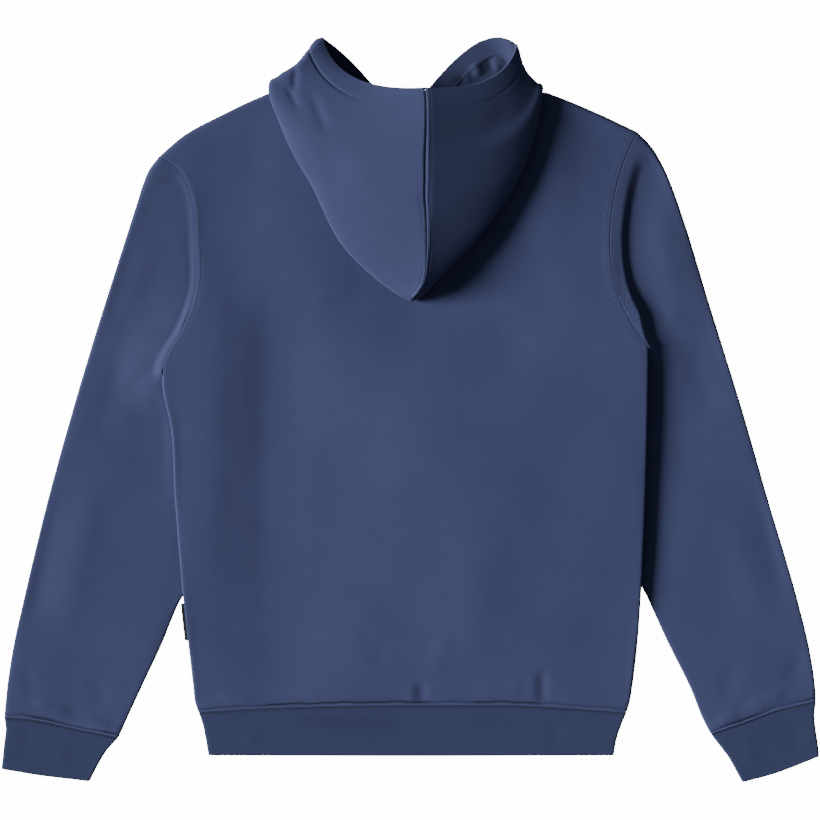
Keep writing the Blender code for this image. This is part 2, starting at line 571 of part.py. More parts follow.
def build_body(fleece):
    for name, neck, upper in (("back_panel", BACK_NECK, True), ("front_panel", FRONT_NECK, False)):
        shape = body_shape(neck)
        sheet, seams, folds = layer(shape, body_heights, body_rows(), BODY_STEPS, upper, SEAM_GAP / 2)
        cloth(name, sheet, inner_face(sheet, FLEECE, 1 if upper else -1, seams, folds), fleece)


def build_sleeves(fleece):
    for name, facing, armhole, outer, inner, cuff_seam in (
        ("sleeve_left", 1, LEFT_ARMHOLE, LEFT_OUTER, LEFT_INNER, LEFT_CUFF_SEAM),
        ("sleeve_right", -1, RIGHT_ARMHOLE, RIGHT_OUTER, RIGHT_INNER, RIGHT_CUFF_SEAM),
    ):
        shape = sleeve_shape(armhole, outer, inner, cuff_seam, facing)
        flat_tube(name, shape, sleeve_heights(armhole), sleeve_rows(), SLEEVE_STEPS, FLEECE, facing, fleece)


def build_bands(rib):
    hem = (HEM_BOTTOM, HEM_SEAM, HEM_LEFT, HEM_RIGHT)
    left_cuff = (LEFT_CUFF_BOTTOM, LEFT_CUFF_SEAM, LEFT_CUFF_OUTER, LEFT_CUFF_INNER)
    right_cuff = (RIGHT_CUFF_BOTTOM, RIGHT_CUFF_SEAM, RIGHT_CUFF_OUTER, RIGHT_CUFF_INNER)
    for name, facing, steps, edges in (
        ("hem_band", 1, BODY_STEPS, hem),
        ("cuff_left", 1, CUFF_STEPS, left_cuff),
        ("cuff_right", -1, CUFF_STEPS, right_cuff),
    ):
        rows = np.linspace(0, 1, BAND_ROWS + 1)
        flat_tube(name, band_shape(*edges, facing), flat_heights, rows, steps, RIB, facing, rib)


def build_hood(fleece):
    for name, side, facing, rows in (
        ("hood_left", "left", -1, HOOD_LEFT),
        ("hood_right", "right", 1, HOOD_RIGHT),
    ):
        sheet = hood_sheet(rows, side)
        along = np.gradient(sheet[:, -1], axis=0)
        across_ridge = unit(np.stack([along[:, 1], -along[:, 0]], axis=-1))
        seams = [(slice(None), -1, across_ridge), (-1, slice(None), np.array([1.0, 0.0, 0.0]))]
        cloth(name, sheet, inner_face(sheet, FLEECE, facing, seams=seams), fleece)


def build_label(black):
    """A small blank strip that stands out of the left side seam."""
    mesh = bmesh.new()
    bmesh.ops.create_cube(mesh, size=1)
    side = np.array(LEFT_SIDE)
    for vertex in mesh.verts:
        y = LABEL_Y[0] if vertex.co.y < 0 else LABEL_Y[1]
        edge = np.interp(y, side[:, 1], side[:, 0])
        middle = (back_height(edge, y) + front_height(edge, y)) / 2
        out = SEAM_GAP if vertex.co.x > 0 else LABEL_OUT
        vertex.co = (np.array([edge - out, y, middle + vertex.co.z * LABEL_THICK]) * MM).tolist()
    bmesh.ops.recalc_face_normals(mesh, faces=mesh.faces)
    place_object("side_label", mesh, black)


def main():
    for thing in list(bpy.data.objects):
        bpy.data.objects.remove(thing)
    fleece = paint("brushed fleece", NAVY, 0.9)
    rib = paint("ribbed knit", NAVY_RIB, 0.9)
    black = paint("label tape", LABEL_BLACK, 0.6)
    build_body(fleece)
    build_sleeves(fleece)
    build_bands(rib)
    build_hood(fleece)
    build_label(black)


main()
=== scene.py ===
"""Dresses the hoodie: its cloth in full detail, its sewing, its finishes, and the stage it lies on.

+X is to the right of someone who looks down on the back, +Y runs from the hem to the hood and +Z is up.
Left and right are as seen from above. Tables and sizes are in millimetres, but where they say otherwise and
in the settings, which are in Blender's metres; MM turns the first into the second.
"""

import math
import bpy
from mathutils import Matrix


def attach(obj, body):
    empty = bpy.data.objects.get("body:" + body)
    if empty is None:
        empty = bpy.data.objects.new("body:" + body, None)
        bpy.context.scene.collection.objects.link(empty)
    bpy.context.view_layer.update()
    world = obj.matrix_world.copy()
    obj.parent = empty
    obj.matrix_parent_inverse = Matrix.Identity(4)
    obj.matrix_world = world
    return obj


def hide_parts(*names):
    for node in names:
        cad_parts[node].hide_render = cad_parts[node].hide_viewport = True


bl_info = {
    "name": "Hoodie, laid flat",
    "version": (1, 0, 0),
    "blender": (4, 5, 0),
    "location": "3D View > Sidebar > Hoodie",
    "description": "Makes a fleece pullover hoodie that lies flat on its front, with its sewing and finishes",
    "category": "Object",
}

import bmesh
import bpy
import numpy as np
from mathutils import Matrix, Vector

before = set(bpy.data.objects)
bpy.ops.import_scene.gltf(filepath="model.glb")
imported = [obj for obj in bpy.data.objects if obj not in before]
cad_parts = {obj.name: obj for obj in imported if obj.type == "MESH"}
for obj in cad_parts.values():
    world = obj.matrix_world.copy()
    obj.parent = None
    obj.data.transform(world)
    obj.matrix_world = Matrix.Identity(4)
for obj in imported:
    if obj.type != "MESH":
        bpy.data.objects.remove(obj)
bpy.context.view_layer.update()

MM = 0.001

# Cloth
FLEECE = 2.0  # thickness of the brushed fleece
RIB = 2.4  # thickness of the ribbed bands
SEAM_GAP = 0.06  # between the edges of two layers that are sewn together
SEAM_LAP = 0.2  # how far a sleeve or a band runs under the cloth that it is sewn to

# Heights above the surface
FLAT = 7.5  # top of two layers that lie on each other
OVER_SLEEVE = FLAT + 0.8  # underside of the front where it passes over a sleeve
SLEEVE_CLEAR = 18.0  # the front stays up this far past the tucked fold of a sleeve
SLEEVE_SLOPE = 26.0  # and comes down to the surface over this width
ARM_FADE = 70.0  # above the underarm the front comes down over this length

# Rounded edges
FOLD_ROLL = 0.5  # width of the round at the folds of body and sleeves, for each mm of half the height there
SHOULDER_ROLL = 5.0  # the same along the top of the shoulders
ROLL_STEPS = 6  # facets of a quarter round

# The sleeves' caps beside the armhole seam: the cloth stays level over a width, drops over another by a share of
# its height, dips deeper just beyond, and starts lower than the body's edge by the last value
LEFT_CAP = {"level": 0.0, "drop": 8.0, "share": 0.55, "dip": 0.0, "lower": 0.7}
RIGHT_CAP = {"level": 12.0, "drop": 7.0, "share": 1.0, "dip": 1.5, "lower": 0.0}
CAP_FADE = 40.0  # length of seam over which the level stretch starts and ends, and the underarm's softer drop
CAP_LOWER_FADE = 20.0  # length over which the lower start sets in
CAP_SHOULDER = (8.0, 28.0)  # from the shoulder down the drop is soft this far, and turns sharp over this length
CAP_SOFT_DROP = 45.0  # width of the drop at the shoulder
CAP_UNDERARM = (3.0, 0.3)  # by the underarm the drop is this much wider, and its share this much smaller
CAP_SPREAD = 55.0  # width over which the rest of the height runs out
CAP_DIP = (20.0, 30.0)  # the dip holds this far from the seam, and runs out over this width

# Plan of the body, in points (x, y)
HEM_SEAM = [(-222.4, -317.6), (-148.4, -313.4), (-59.2, -310.8), (10.1, -310.3), (136.1, -311.3),
            (227.0, -317.6)]
LEFT_SIDE = [(-222.4, -317.6), (-225.8, -308.0), (-228.0, -290.0), (-233.3, -242.0), (-237.8, -200.0),
             (-246.6, -95.0), (-252.8, -8.9), (-257.4, 10.0), (-259.6, 24.0), (-259.8, 32.0),
             (-259.7, 40.4)]
RIGHT_SIDE = [(227.0, -317.6), (230.0, -308.0), (233.0, -290.0), (238.4, -242.0), (241.3, -200.0),
              (246.4, -95.0), (248.6, -8.9), (249.3, 24.7), (249.6, 46.0), (249.5, 65.6)]
LEFT_ARMHOLE = [(-263.9, 265.1), (-244.0, 252.5), (-232.4, 232.6), (-225.1, 174.8), (-226.1, 121.3),
                (-239.8, 82.4), (-254.0, 58.0), (-259.7, 40.4)]
RIGHT_ARMHOLE = [(238.0, 291.4), (223.3, 258.8), (212.8, 217.9), (209.0, 170.0), (214.9, 127.6),
                 (229.6, 94.0), (249.5, 65.6)]
LEFT_SHOULDER = [(-263.9, 265.1), (-239.8, 286.1), (-195.7, 310.3), (-165.2, 325.0), (-145.3, 333.4)]
RIGHT_SHOULDER = [(141.4, 333.4), (163.4, 325.0), (199.1, 309.8), (238.0, 291.4)]
BACK_NECK = [(-145.3, 333.4), (-115.9, 321.8), (-42.4, 309.8), (41.6, 309.8), (109.9, 321.8), (141.4, 333.4)]
FRONT_NECK = [(-145.3, 333.4), (-115.9, 320.8), (-37.1, 301.9), (20.6, 301.9), (104.6, 320.8), (141.4, 333.4)]
UNDERARM = 0.6  # the underarm's place on the body, as a share of the way from hem to shoulder
SHOULDER_SHARE = 0.27  # the shoulder's part of the top edge, on each side
NECK_FROM, NECK_FADE = 0.02, 0.03  # the neck opens this far before the shoulder's end, over this share of the edge
NEVER = 2.0  # a share that no row reaches, for a side that stays closed

# How far the back panel stands above FLAT: at each y, the height at every x of BACK_X
BACK_X = (-250, -205, -178, -152, -125, -95, -50, 0, 60, 120, 150, 180, 250)
BACK_RISE = {
    -320: (0.0, 0.0, 0.0, 0.0, 0.0, 0.0, 0.0, 0.0, 0.0, 0.0, 0.0, 0.0, 0.0),
    -300: (1.2, 1.2, 0.9, 0.5, 0.5, 1.0, 1.6, 2.2, 2.8, 2.8, 2.75, 2.7, 2.6),
    -270: (3.0, 3.0, 2.2, 1.3, 1.4, 2.4, 3.8, 5.0, 6.0, 5.8, 5.6, 5.4, 5.0),
    -200: (6.8, 6.6, 5.0, 3.3, 3.5, 4.9, 6.9, 8.7, 9.9, 9.4, 9.0, 8.6, 7.6),
    -100: (8.4, 8.3, 6.3, 4.2, 4.5, 6.2, 8.8, 11.2, 12.8, 12.2, 11.5, 10.8, 9.2),
    -40: (8.8, 8.7, 6.6, 4.5, 4.8, 6.5, 9.1, 11.5, 13.0, 12.4, 11.7, 11.0, 9.6),
    20: (9.1, 9.3, 7.2, 5.0, 5.4, 7.4, 10.0, 11.6, 12.0, 11.6, 11.2, 10.8, 10.2),
    60: (9.0, 9.6, 7.9, 5.6, 6.0, 8.0, 9.4, 9.0, 8.6, 8.8, 9.0, 9.2, 9.8),
    94: (8.2, 8.4, 6.6, 5.2, 6.0, 7.2, 6.4, 4.8, 4.8, 5.2, 5.5, 5.9, 7.4),
    130: (6.4, 5.4, 4.2, 4.4, 5.2, 6.0, 4.0, 1.8, 1.8, 2.6, 3.1, 3.1, 4.4),
    170: (5.0, 3.2, 3.0, 3.4, 4.2, 4.2, 2.0, 0.6, 1.0, 2.4, 3.5, 3.0, 2.6),
    220: (4.2, 2.0, 1.8, 2.0, 2.2, 1.8, 0.8, 0.3, 0.8, 2.6, 4.2, 3.1, 1.0),
    262: (2.6, 1.2, 1.0, 1.0, 1.0, 0.8, 0.4, 0.2, 0.6, 2.6, 4.4, 2.7, 0.0),
    300: (0.6, 0.4, 0.3, 0.2, 0.2, 0.2, 0.0, 0.0, 0.2, 1.0, 2.6, 1.5, 0.0),
    335: (0.0, 0.0, 0.0, 0.0, 0.0, 0.0, 0.0, 0.0, 0.0, 0.0, 0.0, 0.0, 0.0),
}

# Plan of the sleeves: the outer fold from the shoulder to the cuff, and the inner fold from the underarm,
# which tucks under the body and comes out again before the cuff
LEFT_OUTER = [(-263.9, 265.1), (-274.5, 251.0), (-280.9, 235.5), (-287.5, 214.8), (-307.0, 153.8),
              (-332.2, 74.0), (-357.4, -11.0), (-380.5, -95.0), (-405.9, -200.0), (-416.4, -247.3),
              (-423.4, -293.5), (-426.2, -322.9)]
RIGHT_OUTER = [(238.0, 291.4), (253.2, 275.6), (265.6, 254.6), (274.0, 235.5), (285.4, 203.2), (312.5, 115.0),
               (351.4, -11.0), (375.5, -95.0), (406.4, -200.0), (419.0, -252.4), (424.6, -289.0),
               (425.6, -306.1)]
LEFT_INNER = [(-259.7, 40.4), (-258.6, 31.0), (-254.4, 16.0), (-224.0, -39.4), (-195.7, -105.5),
              (-212.5, -166.4), (-241.2, -200.0), (-250.2, -220.0), (-259.0, -242.0), (-281.0, -289.3),
              (-296.5, -322.9), (-306.0, -343.9)]
RIGHT_INNER = [(249.5, 65.6), (243.4, 58.0), (232.0, 41.0), (213.8, -14.2), (185.5, -80.3), (202.3, -141.2),
               (243.6, -188.0), (256.5, -215.0), (269.4, -243.1), (294.5, -294.0), (307.8, -327.0),
               (315.2, -340.7)]
LEFT_CUFF_SEAM = [(-426.2, -322.9), (-396.2, -325.0), (-354.2, -333.9), (-306.0, -343.9)]
RIGHT_CUFF_SEAM = [(425.6, -306.1), (383.9, -316.6), (345.0, -331.0), (315.2, -340.7)]
SLEEVE_UNDERARM = 0.62  # the underarm's place on a sleeve, as a share of the way from cuff to armhole
OPENING_FADE = 0.03  # share of that way over which its edge rolls in along the armhole
FAR_AWAY = 50.0  # any distance beyond the reach of a rolled edge
TOP_OF_SLEEVE = 0.75  # share of the armhole, from the shoulder down, to which a sleeve's top row is sewn

# Plan of the bands: their free edges and ends
HEM_BOTTOM = [(-211.9, -362.8), (0.0, -363.4), (213.4, -362.8)]
HEM_LEFT = [(-222.4, -317.6), (-217.9, -330.5), (-215.6, -341.8), (-211.9, -362.8)]
HEM_RIGHT = [(227.0, -317.6), (221.3, -331.3), (216.4, -346.0), (213.4, -362.8)]
LEFT_CUFF_BOTTOM = [(-429.1, -377.1), (-396.2, -382.7), (-336.4, -390.1)]
LEFT_CUFF_OUTER = [(-426.2, -322.9), (-424.6, -334.0), (-426.3, -350.0), (-429.1, -377.1)]
LEFT_CUFF_INNER = [(-306.0, -343.9), (-318.3, -357.5), (-327.4, -372.2), (-336.4, -390.1)]
RIGHT_CUFF_BOTTOM = [(429.1, -363.8), (379.7, -382.7), (348.2, -391.1)]
RIGHT_CUFF_OUTER = [(425.6, -306.1), (424.0, -321.0), (425.3, -335.0), (427.6, -350.0), (429.1, -363.8)]
RIGHT_CUFF_INNER = [(315.2, -340.7), (324.1, -352.3), (333.7, -364.9), (341.9, -379.6), (348.2, -391.1)]

# The hood's halves in strips that run beside the face edge, from the neck seam round the outer fold to the
# centre seam. place is 0 at the face edge and 1 at the nape. crest is the height of the upper layer just
# inside the fold; under and over are the widths of the round below and above the fold.
HOOD_COLUMNS = ("place", "neck_x", "neck_y", "neck_z", "fold_x", "fold_y", "fold_z",
                "seam_x", "seam_y", "seam_z", "crest", "under", "over")
HOOD_LEFT = [
    (0.000, -9.0, 299.8, 2.4, -91.0, 390.2, 13.0, 15.4, 334.6, 56.0, 29.0, 12.0, 8.0),
    (0.060, -10.0, 299.8, 2.4, -99.8, 387.0, 13.5, 16.0, 328.0, 56.5, 32.0, 12.0, 7.0),
    (0.120, -14.0, 299.9, 2.4, -107.3, 377.0, 14.0, 16.5, 321.2, 57.0, 35.0, 11.0, 6.0),
    (0.250, -37.0, 302.1, 2.4, -119.6, 361.5, 16.0, 17.0, 303.4, 58.0, 39.0, 10.0, 5.0),
    (0.380, -79.0, 309.4, 2.4, -138.0, 349.0, 18.0, 16.8, 284.6, 58.0, 40.0, 9.0, 5.0),
    (0.500, -146.2, 339.3, 5.0, -148.2, 336.3, 22.0, 16.0, 260.9, 57.0, 40.0, 5.0, 5.0),
    (0.520, -145.0, 338.0, 8.0, -148.0, 330.0, 22.5, 16.0, 256.0, 56.5, 39.5, 6.0, 5.0),
    (0.570, -128.0, 327.0, 8.0, -141.6, 312.4, 24.0, 16.0, 243.2, 55.0, 38.5, 8.0, 5.0),
    (0.650, -98.0, 318.0, 8.0, -127.6, 278.2, 25.0, 15.6, 221.6, 52.0, 37.0, 10.0, 5.0),
    (0.730, -66.0, 312.5, 8.0, -103.8, 234.6, 25.0, 17.0, 198.0, 48.0, 35.5, 10.0, 5.0),
    (0.810, -38.0, 310.0, 8.0, -74.5, 176.0, 24.0, 17.2, 162.6, 44.0, 32.0, 10.0, 5.0),
    (0.890, -20.0, 309.0, 8.0, -38.0, 137.8, 22.0, 14.0, 134.0, 39.0, 28.0, 9.0, 5.0),
    (0.950, -9.0, 308.5, 8.0, -12.0, 119.0, 18.0, 6.5, 120.3, 33.5, 24.0, 8.0, 4.0),
    (1.000, 2.0, 308.2, 8.0, 2.0, 112.8, 15.0, 2.0, 117.0, 28.5, 21.0, 7.0, 4.0),
]
HOOD_RIGHT = [
    (0.000, -8.5, 299.8, 2.4, 111.6, 382.0, 26.0, 15.4, 334.6, 56.0, 29.0, 40.0, 3.0),
    (0.060, -5.0, 299.8, 2.4, 114.0, 375.4, 25.5, 16.0, 328.0, 56.5, 28.0, 35.0, 3.0),
    (0.120, 0.0, 299.9, 2.4, 115.8, 368.2, 24.5, 16.5, 321.2, 57.0, 27.0, 30.0, 3.0),
    (0.250, 20.0, 302.1, 2.4, 121.6, 354.2, 21.0, 17.0, 303.4, 58.0, 23.8, 20.0, 4.0),
    (0.380, 66.0, 310.2, 2.4, 131.7, 343.0, 16.5, 16.8, 284.6, 58.0, 20.0, 12.0, 6.0),
    (0.500, 137.0, 338.6, 5.0, 138.9, 335.6, 13.4, 16.0, 260.9, 57.0, 18.5, 5.0, 10.0),
    (0.520, 137.4, 337.4, 8.0, 139.0, 330.4, 13.2, 16.0, 256.0, 56.5, 18.0, 6.0, 11.0),
    (0.570, 124.0, 327.0, 8.0, 136.8, 316.8, 13.0, 16.0, 243.2, 55.0, 17.5, 7.0, 14.0),
    (0.650, 98.0, 318.0, 8.0, 129.8, 287.2, 13.0, 15.6, 221.6, 52.0, 17.5, 8.0, 15.0),
    (0.730, 68.0, 312.5, 8.0, 111.9, 242.4, 13.0, 17.0, 198.0, 48.0, 17.5, 8.0, 14.0),
    (0.810, 42.0, 310.0, 8.0, 80.8, 199.5, 13.4, 17.2, 162.6, 44.0, 18.0, 8.0, 12.0),
    (0.890, 24.0, 309.0, 8.0, 40.7, 154.4, 14.0, 14.0, 134.0, 39.0, 19.5, 7.0, 9.0),
    (0.950, 13.0, 308.5, 8.0, 17.0, 122.4, 14.5, 6.5, 120.3, 33.5, 22.0, 7.0, 6.0),
    (1.000, 2.0, 308.2, 8.0, 2.0, 112.8, 15.0, 2.0, 117.0, 28.5, 22.5, 7.0, 4.0),
]
HOOD_CLEAR = 0.5  # between the back and the hood's under layer
LOBE_LOW = 0.6  # the hood's under layer lies this high beyond the neck
FACE_BOW = {"left": (-1.0, 17.0), "right": (23.5, 79.6)}  # how the lower face edge bows out
BOW_FADE = 0.35  # place at which that bow has run out
SHOULDER_PLACE = 0.5  # before it the hood's under layer lies beyond the neck, and after it on the back
NAPE_FROM = 0.9  # from this place to the nape the two halves part evenly along their seam
MOST_ROLL = 0.8  # the most of a layer's width that its round takes
OVER_LEAN = (0.13, 0.08)  # bend of the upper layer's strips: share across, share past the seam

# Side label
LABEL_Y = (-242.0, -203.0)
LABEL_OUT = 3.2  # how far it stands out of the seam
LABEL_IN = 1.8  # how far it runs into the rolled seam
LABEL_THICK, LABEL_SEWN = 1.2, 0.2  # of the folded tape, and where it is caught in the seam
LABEL_ROUND = 0.25  # width of its rounded edges
LABEL_WAVE = 0.25  # how far its free edge bends up and down

# Thread
THREAD_RISE, THREAD_FLAT = 0.15, 0.8  # how far it stands out of the cloth and how flat it is, for its width

# Stage
FLOOR_HALF = 6.0  # half the floor's width, in metres
FLOOR_DROP = 0.4  # how far the floor lies below the surface that the garment touches
EYE = (-0.4, -0.5)  # the camera's place over the middle of the garment

# Facets
CROWDING = 0.15  # how far the columns crowd towards the sides
FRONT_COARSER = 2.2  # size of the hidden front panel's cells, against the back's
ARMHOLE_FINER = 2.6  # how much closer a sleeve's rows lie beside the lower armhole
BODY_SPAN, SLEEVE_SPAN = 460.0, 110.0  # widths that hold the body's and a sleeve's evenly spaced columns
BAND_ENDS = 18.0  # what the rounds take of a band's width
HOOD_FINER = 0.85  # size of the hood's cells, against the body's
HOOD_PLACES = 301  # strips worked out for each hood half before they are spaced anew
HOOD_UNDER_STEPS, HOOD_OVER_STEPS = 40, 44  # columns below and above the hood's outer fold


def ease(share):
    """Rises smoothly from 0 to 1 as the share does."""
    share = np.clip(share, 0, 1)
    return share * share * (3 - 2 * share)


def bell(distance, place, width):
    """A soft ridge of height 1 at a place, with its half width."""
    return np.exp(-(((distance - place) / width) ** 2))


def rounded(share):
    """Height of a quarter round at a share of its width from the fold."""
    return np.sqrt(1 - (1 - np.clip(share, 0, 1)) ** 2)


def smooth(knots, values, at):
    """Reads a smooth curve through the values, which stand at the knots."""
    knots = np.asarray(knots, float)
    values = np.asarray(values, float).reshape(len(knots), -1)
    at = np.clip(np.asarray(at, float), knots[0], knots[-1])
    span = np.diff(knots)[:, None]
    slope = np.diff(values, axis=0) / span
    middle = (slope[:-1] * span[1:] + slope[1:] * span[:-1]) / (span[:-1] + span[1:])
    tangent = np.concatenate([slope[:1], middle, slope[-1:]])
    i = np.clip(np.searchsorted(knots, at, side="right") - 1, 0, len(knots) - 2)
    s = (at - knots[i])[..., None] / span[i]
    start = (1 + 2 * s) * (1 - s) ** 2 * values[i] + s * (1 - s) ** 2 * span[i] * tangent[i]
    end = s**2 * (3 - 2 * s) * values[i + 1] - s**2 * (1 - s) * span[i] * tangent[i + 1]
    return start + end


def curve(points):
    """A smooth curve through plan points, as a function of the share 0 to 1 along it."""
    points = np.array(points, float)
    steps = np.hypot(*np.diff(points, axis=0).T)
    knots = np.concatenate([[0], np.cumsum(steps)]) / steps.sum()
    return lambda share: smooth(knots, points, share)


def chain(first, second, share_of_first):
    """Two curves end to end, as one."""
    def both(share):
        share = np.asarray(share, float)
        before = first(share / share_of_first)
        after = second((share - share_of_first) / (1 - share_of_first))
        return np.where((share < share_of_first)[..., None], before, after)

    return both


def backwards(one):
    """The same curve from its other end."""
    return lambda share: one(1 - np.asarray(share, float))


def beside(one, share, distance):
    """The plan steps from points of a curve to its right-hand side, or to its left if negative."""
    ahead = one(np.clip(share + 0.01, 0, 1)) - one(np.clip(share - 0.01, 0, 1))
    ahead /= np.hypot(ahead[..., 0], ahead[..., 1])[..., None]
    return distance * np.stack([ahead[..., 1], -ahead[..., 0]], axis=-1)


def length(one):
    """The length of a curve."""
    points = one(np.linspace(0, 1, 101))
    return np.hypot(*np.diff(points, axis=0).T).sum()


def panel(low, high, left, right):
    """The plan of a panel inside its four edges, as a function of the shares across (u) and up (v)."""
    def plan(u, v):
        across, up = u[..., None], v[..., None]
        sides = (1 - across) * left(v) + across * right(v)
        ends = (1 - up) * low(u) + up * high(u)
        corners = (1 - up) * ((1 - across) * low(0.0) + across * low(1.0)) \
            + up * ((1 - across) * high(0.0) + across * high(1.0))
        return sides + ends - corners

    return plan


def across(width, first_roll, last_roll, steps):
    """Shares across a flattened piece, close together in the round at each fold, and each one's lift."""
    turn = np.linspace(0, math.pi / 2, ROLL_STEPS + 1)
    first = first_roll * (1 - np.cos(turn)) / width
    last = 1 - last_roll * (1 - np.cos(turn[::-1])) / width
    spread = np.arange(1, steps) / steps
    spread = spread - CROWDING * np.sin(2 * math.pi * spread) / (2 * math.pi)
    middle = first[-1] + (last[0] - first[-1]) * spread
    shares = np.concatenate([first, middle, last])
    lift = np.concatenate([np.sin(turn), np.ones(len(middle)), np.sin(turn)[::-1]])
    return shares, lift


def unit(vectors):
    """The plan directions of the vectors, as vectors in space."""
    level = np.zeros((*vectors.shape[:-1], 3))
    level[..., :2] = vectors[..., :2] / np.hypot(vectors[..., 0], vectors[..., 1])[..., None]
    return level


def layer(shape, heights, rows, steps, upper, apart=0.0):
    """The upper or lower layer of a flattened tube, as rows of points in space from its low to its high edge.

    heights gives the tube's top and underside at plan points. Where shape says that a side opens, as at an
    armhole, the layer isn't rounded down to the fold there. apart is half the gap between the layers' edges.
    Towards its top row a sleeve takes the spacing that shape gives it there.
    Also returns the ways across its seams and a mark on each point that lies in a fold."""
    plan = panel(*shape["edges"])
    sheet, folds = [], []
    for v in rows:
        ends = plan(np.array([0.0, 1.0]), np.array([v, v]))
        top, low = heights(ends)
        rolls = FOLD_ROLL / 2 * (top - low)
        u, lift = across(np.hypot(*(ends[1] - ends[0])), *rolls, steps)
        if "top_row" in shape:
            u = u + (shape["top_row"] - u) * ease((v - shape["opens"][1]) / (1 - shape["opens"][1]))
        opened = [rounded((v - share) * shape["rise"] / roll) for share, roll in zip(shape["opens"], rolls)]
        side = 1 - (1 - lift) * (1 - np.where(u < 0.5, *opened))
        flat = plan(u, np.full(len(u), v))
        if "clear" in shape:
            flat = flat + shape["clear"](u, v)
        top, low = heights(flat)
        half = (top - low) / 2 * side * shape.get("closing", lambda u, v: 1.0)(u, v)
        z = (top + low) / 2 + np.maximum(half, apart) * (1 if upper else -1)
        sheet.append(np.column_stack([flat, z]))
        folds.append(half < max(apart, 0.01))
    sheet, rows = np.array(sheet), np.asarray(rows)
    ways = [(0, slice(None), unit(sheet[1] - sheet[0]))]
    if "clear" in shape:
        ways.append((-1, slice(None), unit(shape["clear"](u, 1.0))))
    for column, share in zip((0, -1), shape["opens"]):
        open_rows = np.flatnonzero((rows > share) & (rows <= 1))
        along = np.gradient(sheet[:, column, :2], axis=0)[open_rows]
        ways.append((open_rows, column, unit(np.stack([along[:, 1], -along[:, 0]], axis=-1))))
    return sheet, ways, np.array(folds)


# Body

def tuck_line(inner):
    """The x of a sleeve's inner fold, as a function of y."""
    points = np.array(inner, float)[::-1]
    return lambda y: smooth(points[:, 1], points[:, 0], y)[..., 0]


left_tuck, right_tuck = tuck_line(LEFT_INNER), tuck_line(RIGHT_INNER)
arm_length = length(curve(LEFT_ARMHOLE))


def back_height(x, y):
    """Top of the back panel: raised along both sides over the tucked sleeves, with a soft trough beside the
    left one and a broad swell in the middle."""
    x, y = np.broadcast_arrays(np.asarray(x, float), np.asarray(y, float))
    at_y = smooth(list(BACK_RISE), list(BACK_RISE.values()), y.ravel())
    rise = [smooth(BACK_X, row, [place])[0, 0] for row, place in zip(at_y, x.ravel())]
    return FLAT + np.reshape(rise, x.shape)


def front_height(x, y):
    """Underside of the front panel: on the surface in the middle, over the tucked sleeves at both edges."""
    left_gate = 1 - ease((y - LEFT_INNER[0][1]) / ARM_FADE)
    right_gate = 1 - ease((y - RIGHT_INNER[0][1]) / ARM_FADE)
    left = left_gate * (1 - ease((x - left_tuck(y) - SLEEVE_CLEAR) / SLEEVE_SLOPE))
    right = right_gate * (1 - ease((right_tuck(y) - x - SLEEVE_CLEAR) / SLEEVE_SLOPE))
    return OVER_SLEEVE * np.clip(left + right, 0, 1)


def body_heights(flat):
    """Top and underside of the body at plan points."""
    return np.array([back_height(flat[:, 0], flat[:, 1]), front_height(flat[:, 0], flat[:, 1])])


def body_rows(cell):
    """Shares from hem to shoulder, close together beside the hem and in the round of the shoulder."""
    turn = np.linspace(math.pi / 2, 0, ROLL_STEPS + 1)
    low = places(length(curve(LEFT_SIDE)), cell, True, False)[:-1] * UNDERARM
    arm = places(arm_length - SHOULDER_ROLL, cell, False, False) * (1 - SHOULDER_ROLL / arm_length)
    shoulder = 1 - SHOULDER_ROLL / arm_length * (1 - np.cos(turn[1:]))
    return np.concatenate([low, UNDERARM + (1 - UNDERARM) * np.concatenate([arm, shoulder])])


def body_shape(neck):
    """The body's plan, which opens along both armholes and is closed along both shoulders."""
    left = chain(curve(LEFT_SIDE), backwards(curve(LEFT_ARMHOLE)), UNDERARM)
    right = chain(curve(RIGHT_SIDE), backwards(curve(RIGHT_ARMHOLE)), UNDERARM)
    high = chain(chain(curve(LEFT_SHOULDER), curve(neck), SHOULDER_SHARE / (1 - SHOULDER_SHARE)),
                 curve(RIGHT_SHOULDER), 1 - SHOULDER_SHARE)
    rise = arm_length / (1 - UNDERARM)

    def closing(u, v):
        shoulder = 1 - ease((np.minimum(u, 1 - u) - SHOULDER_SHARE + NECK_FROM) / NECK_FADE)
        return 1 - (1 - rounded((1 - v) * rise / SHOULDER_ROLL)) * shoulder

    return {"edges": (curve(HEM_SEAM), high, left, right), "opens": (UNDERARM, UNDERARM), "rise": rise,
            "closing": closing}


# Sleeves

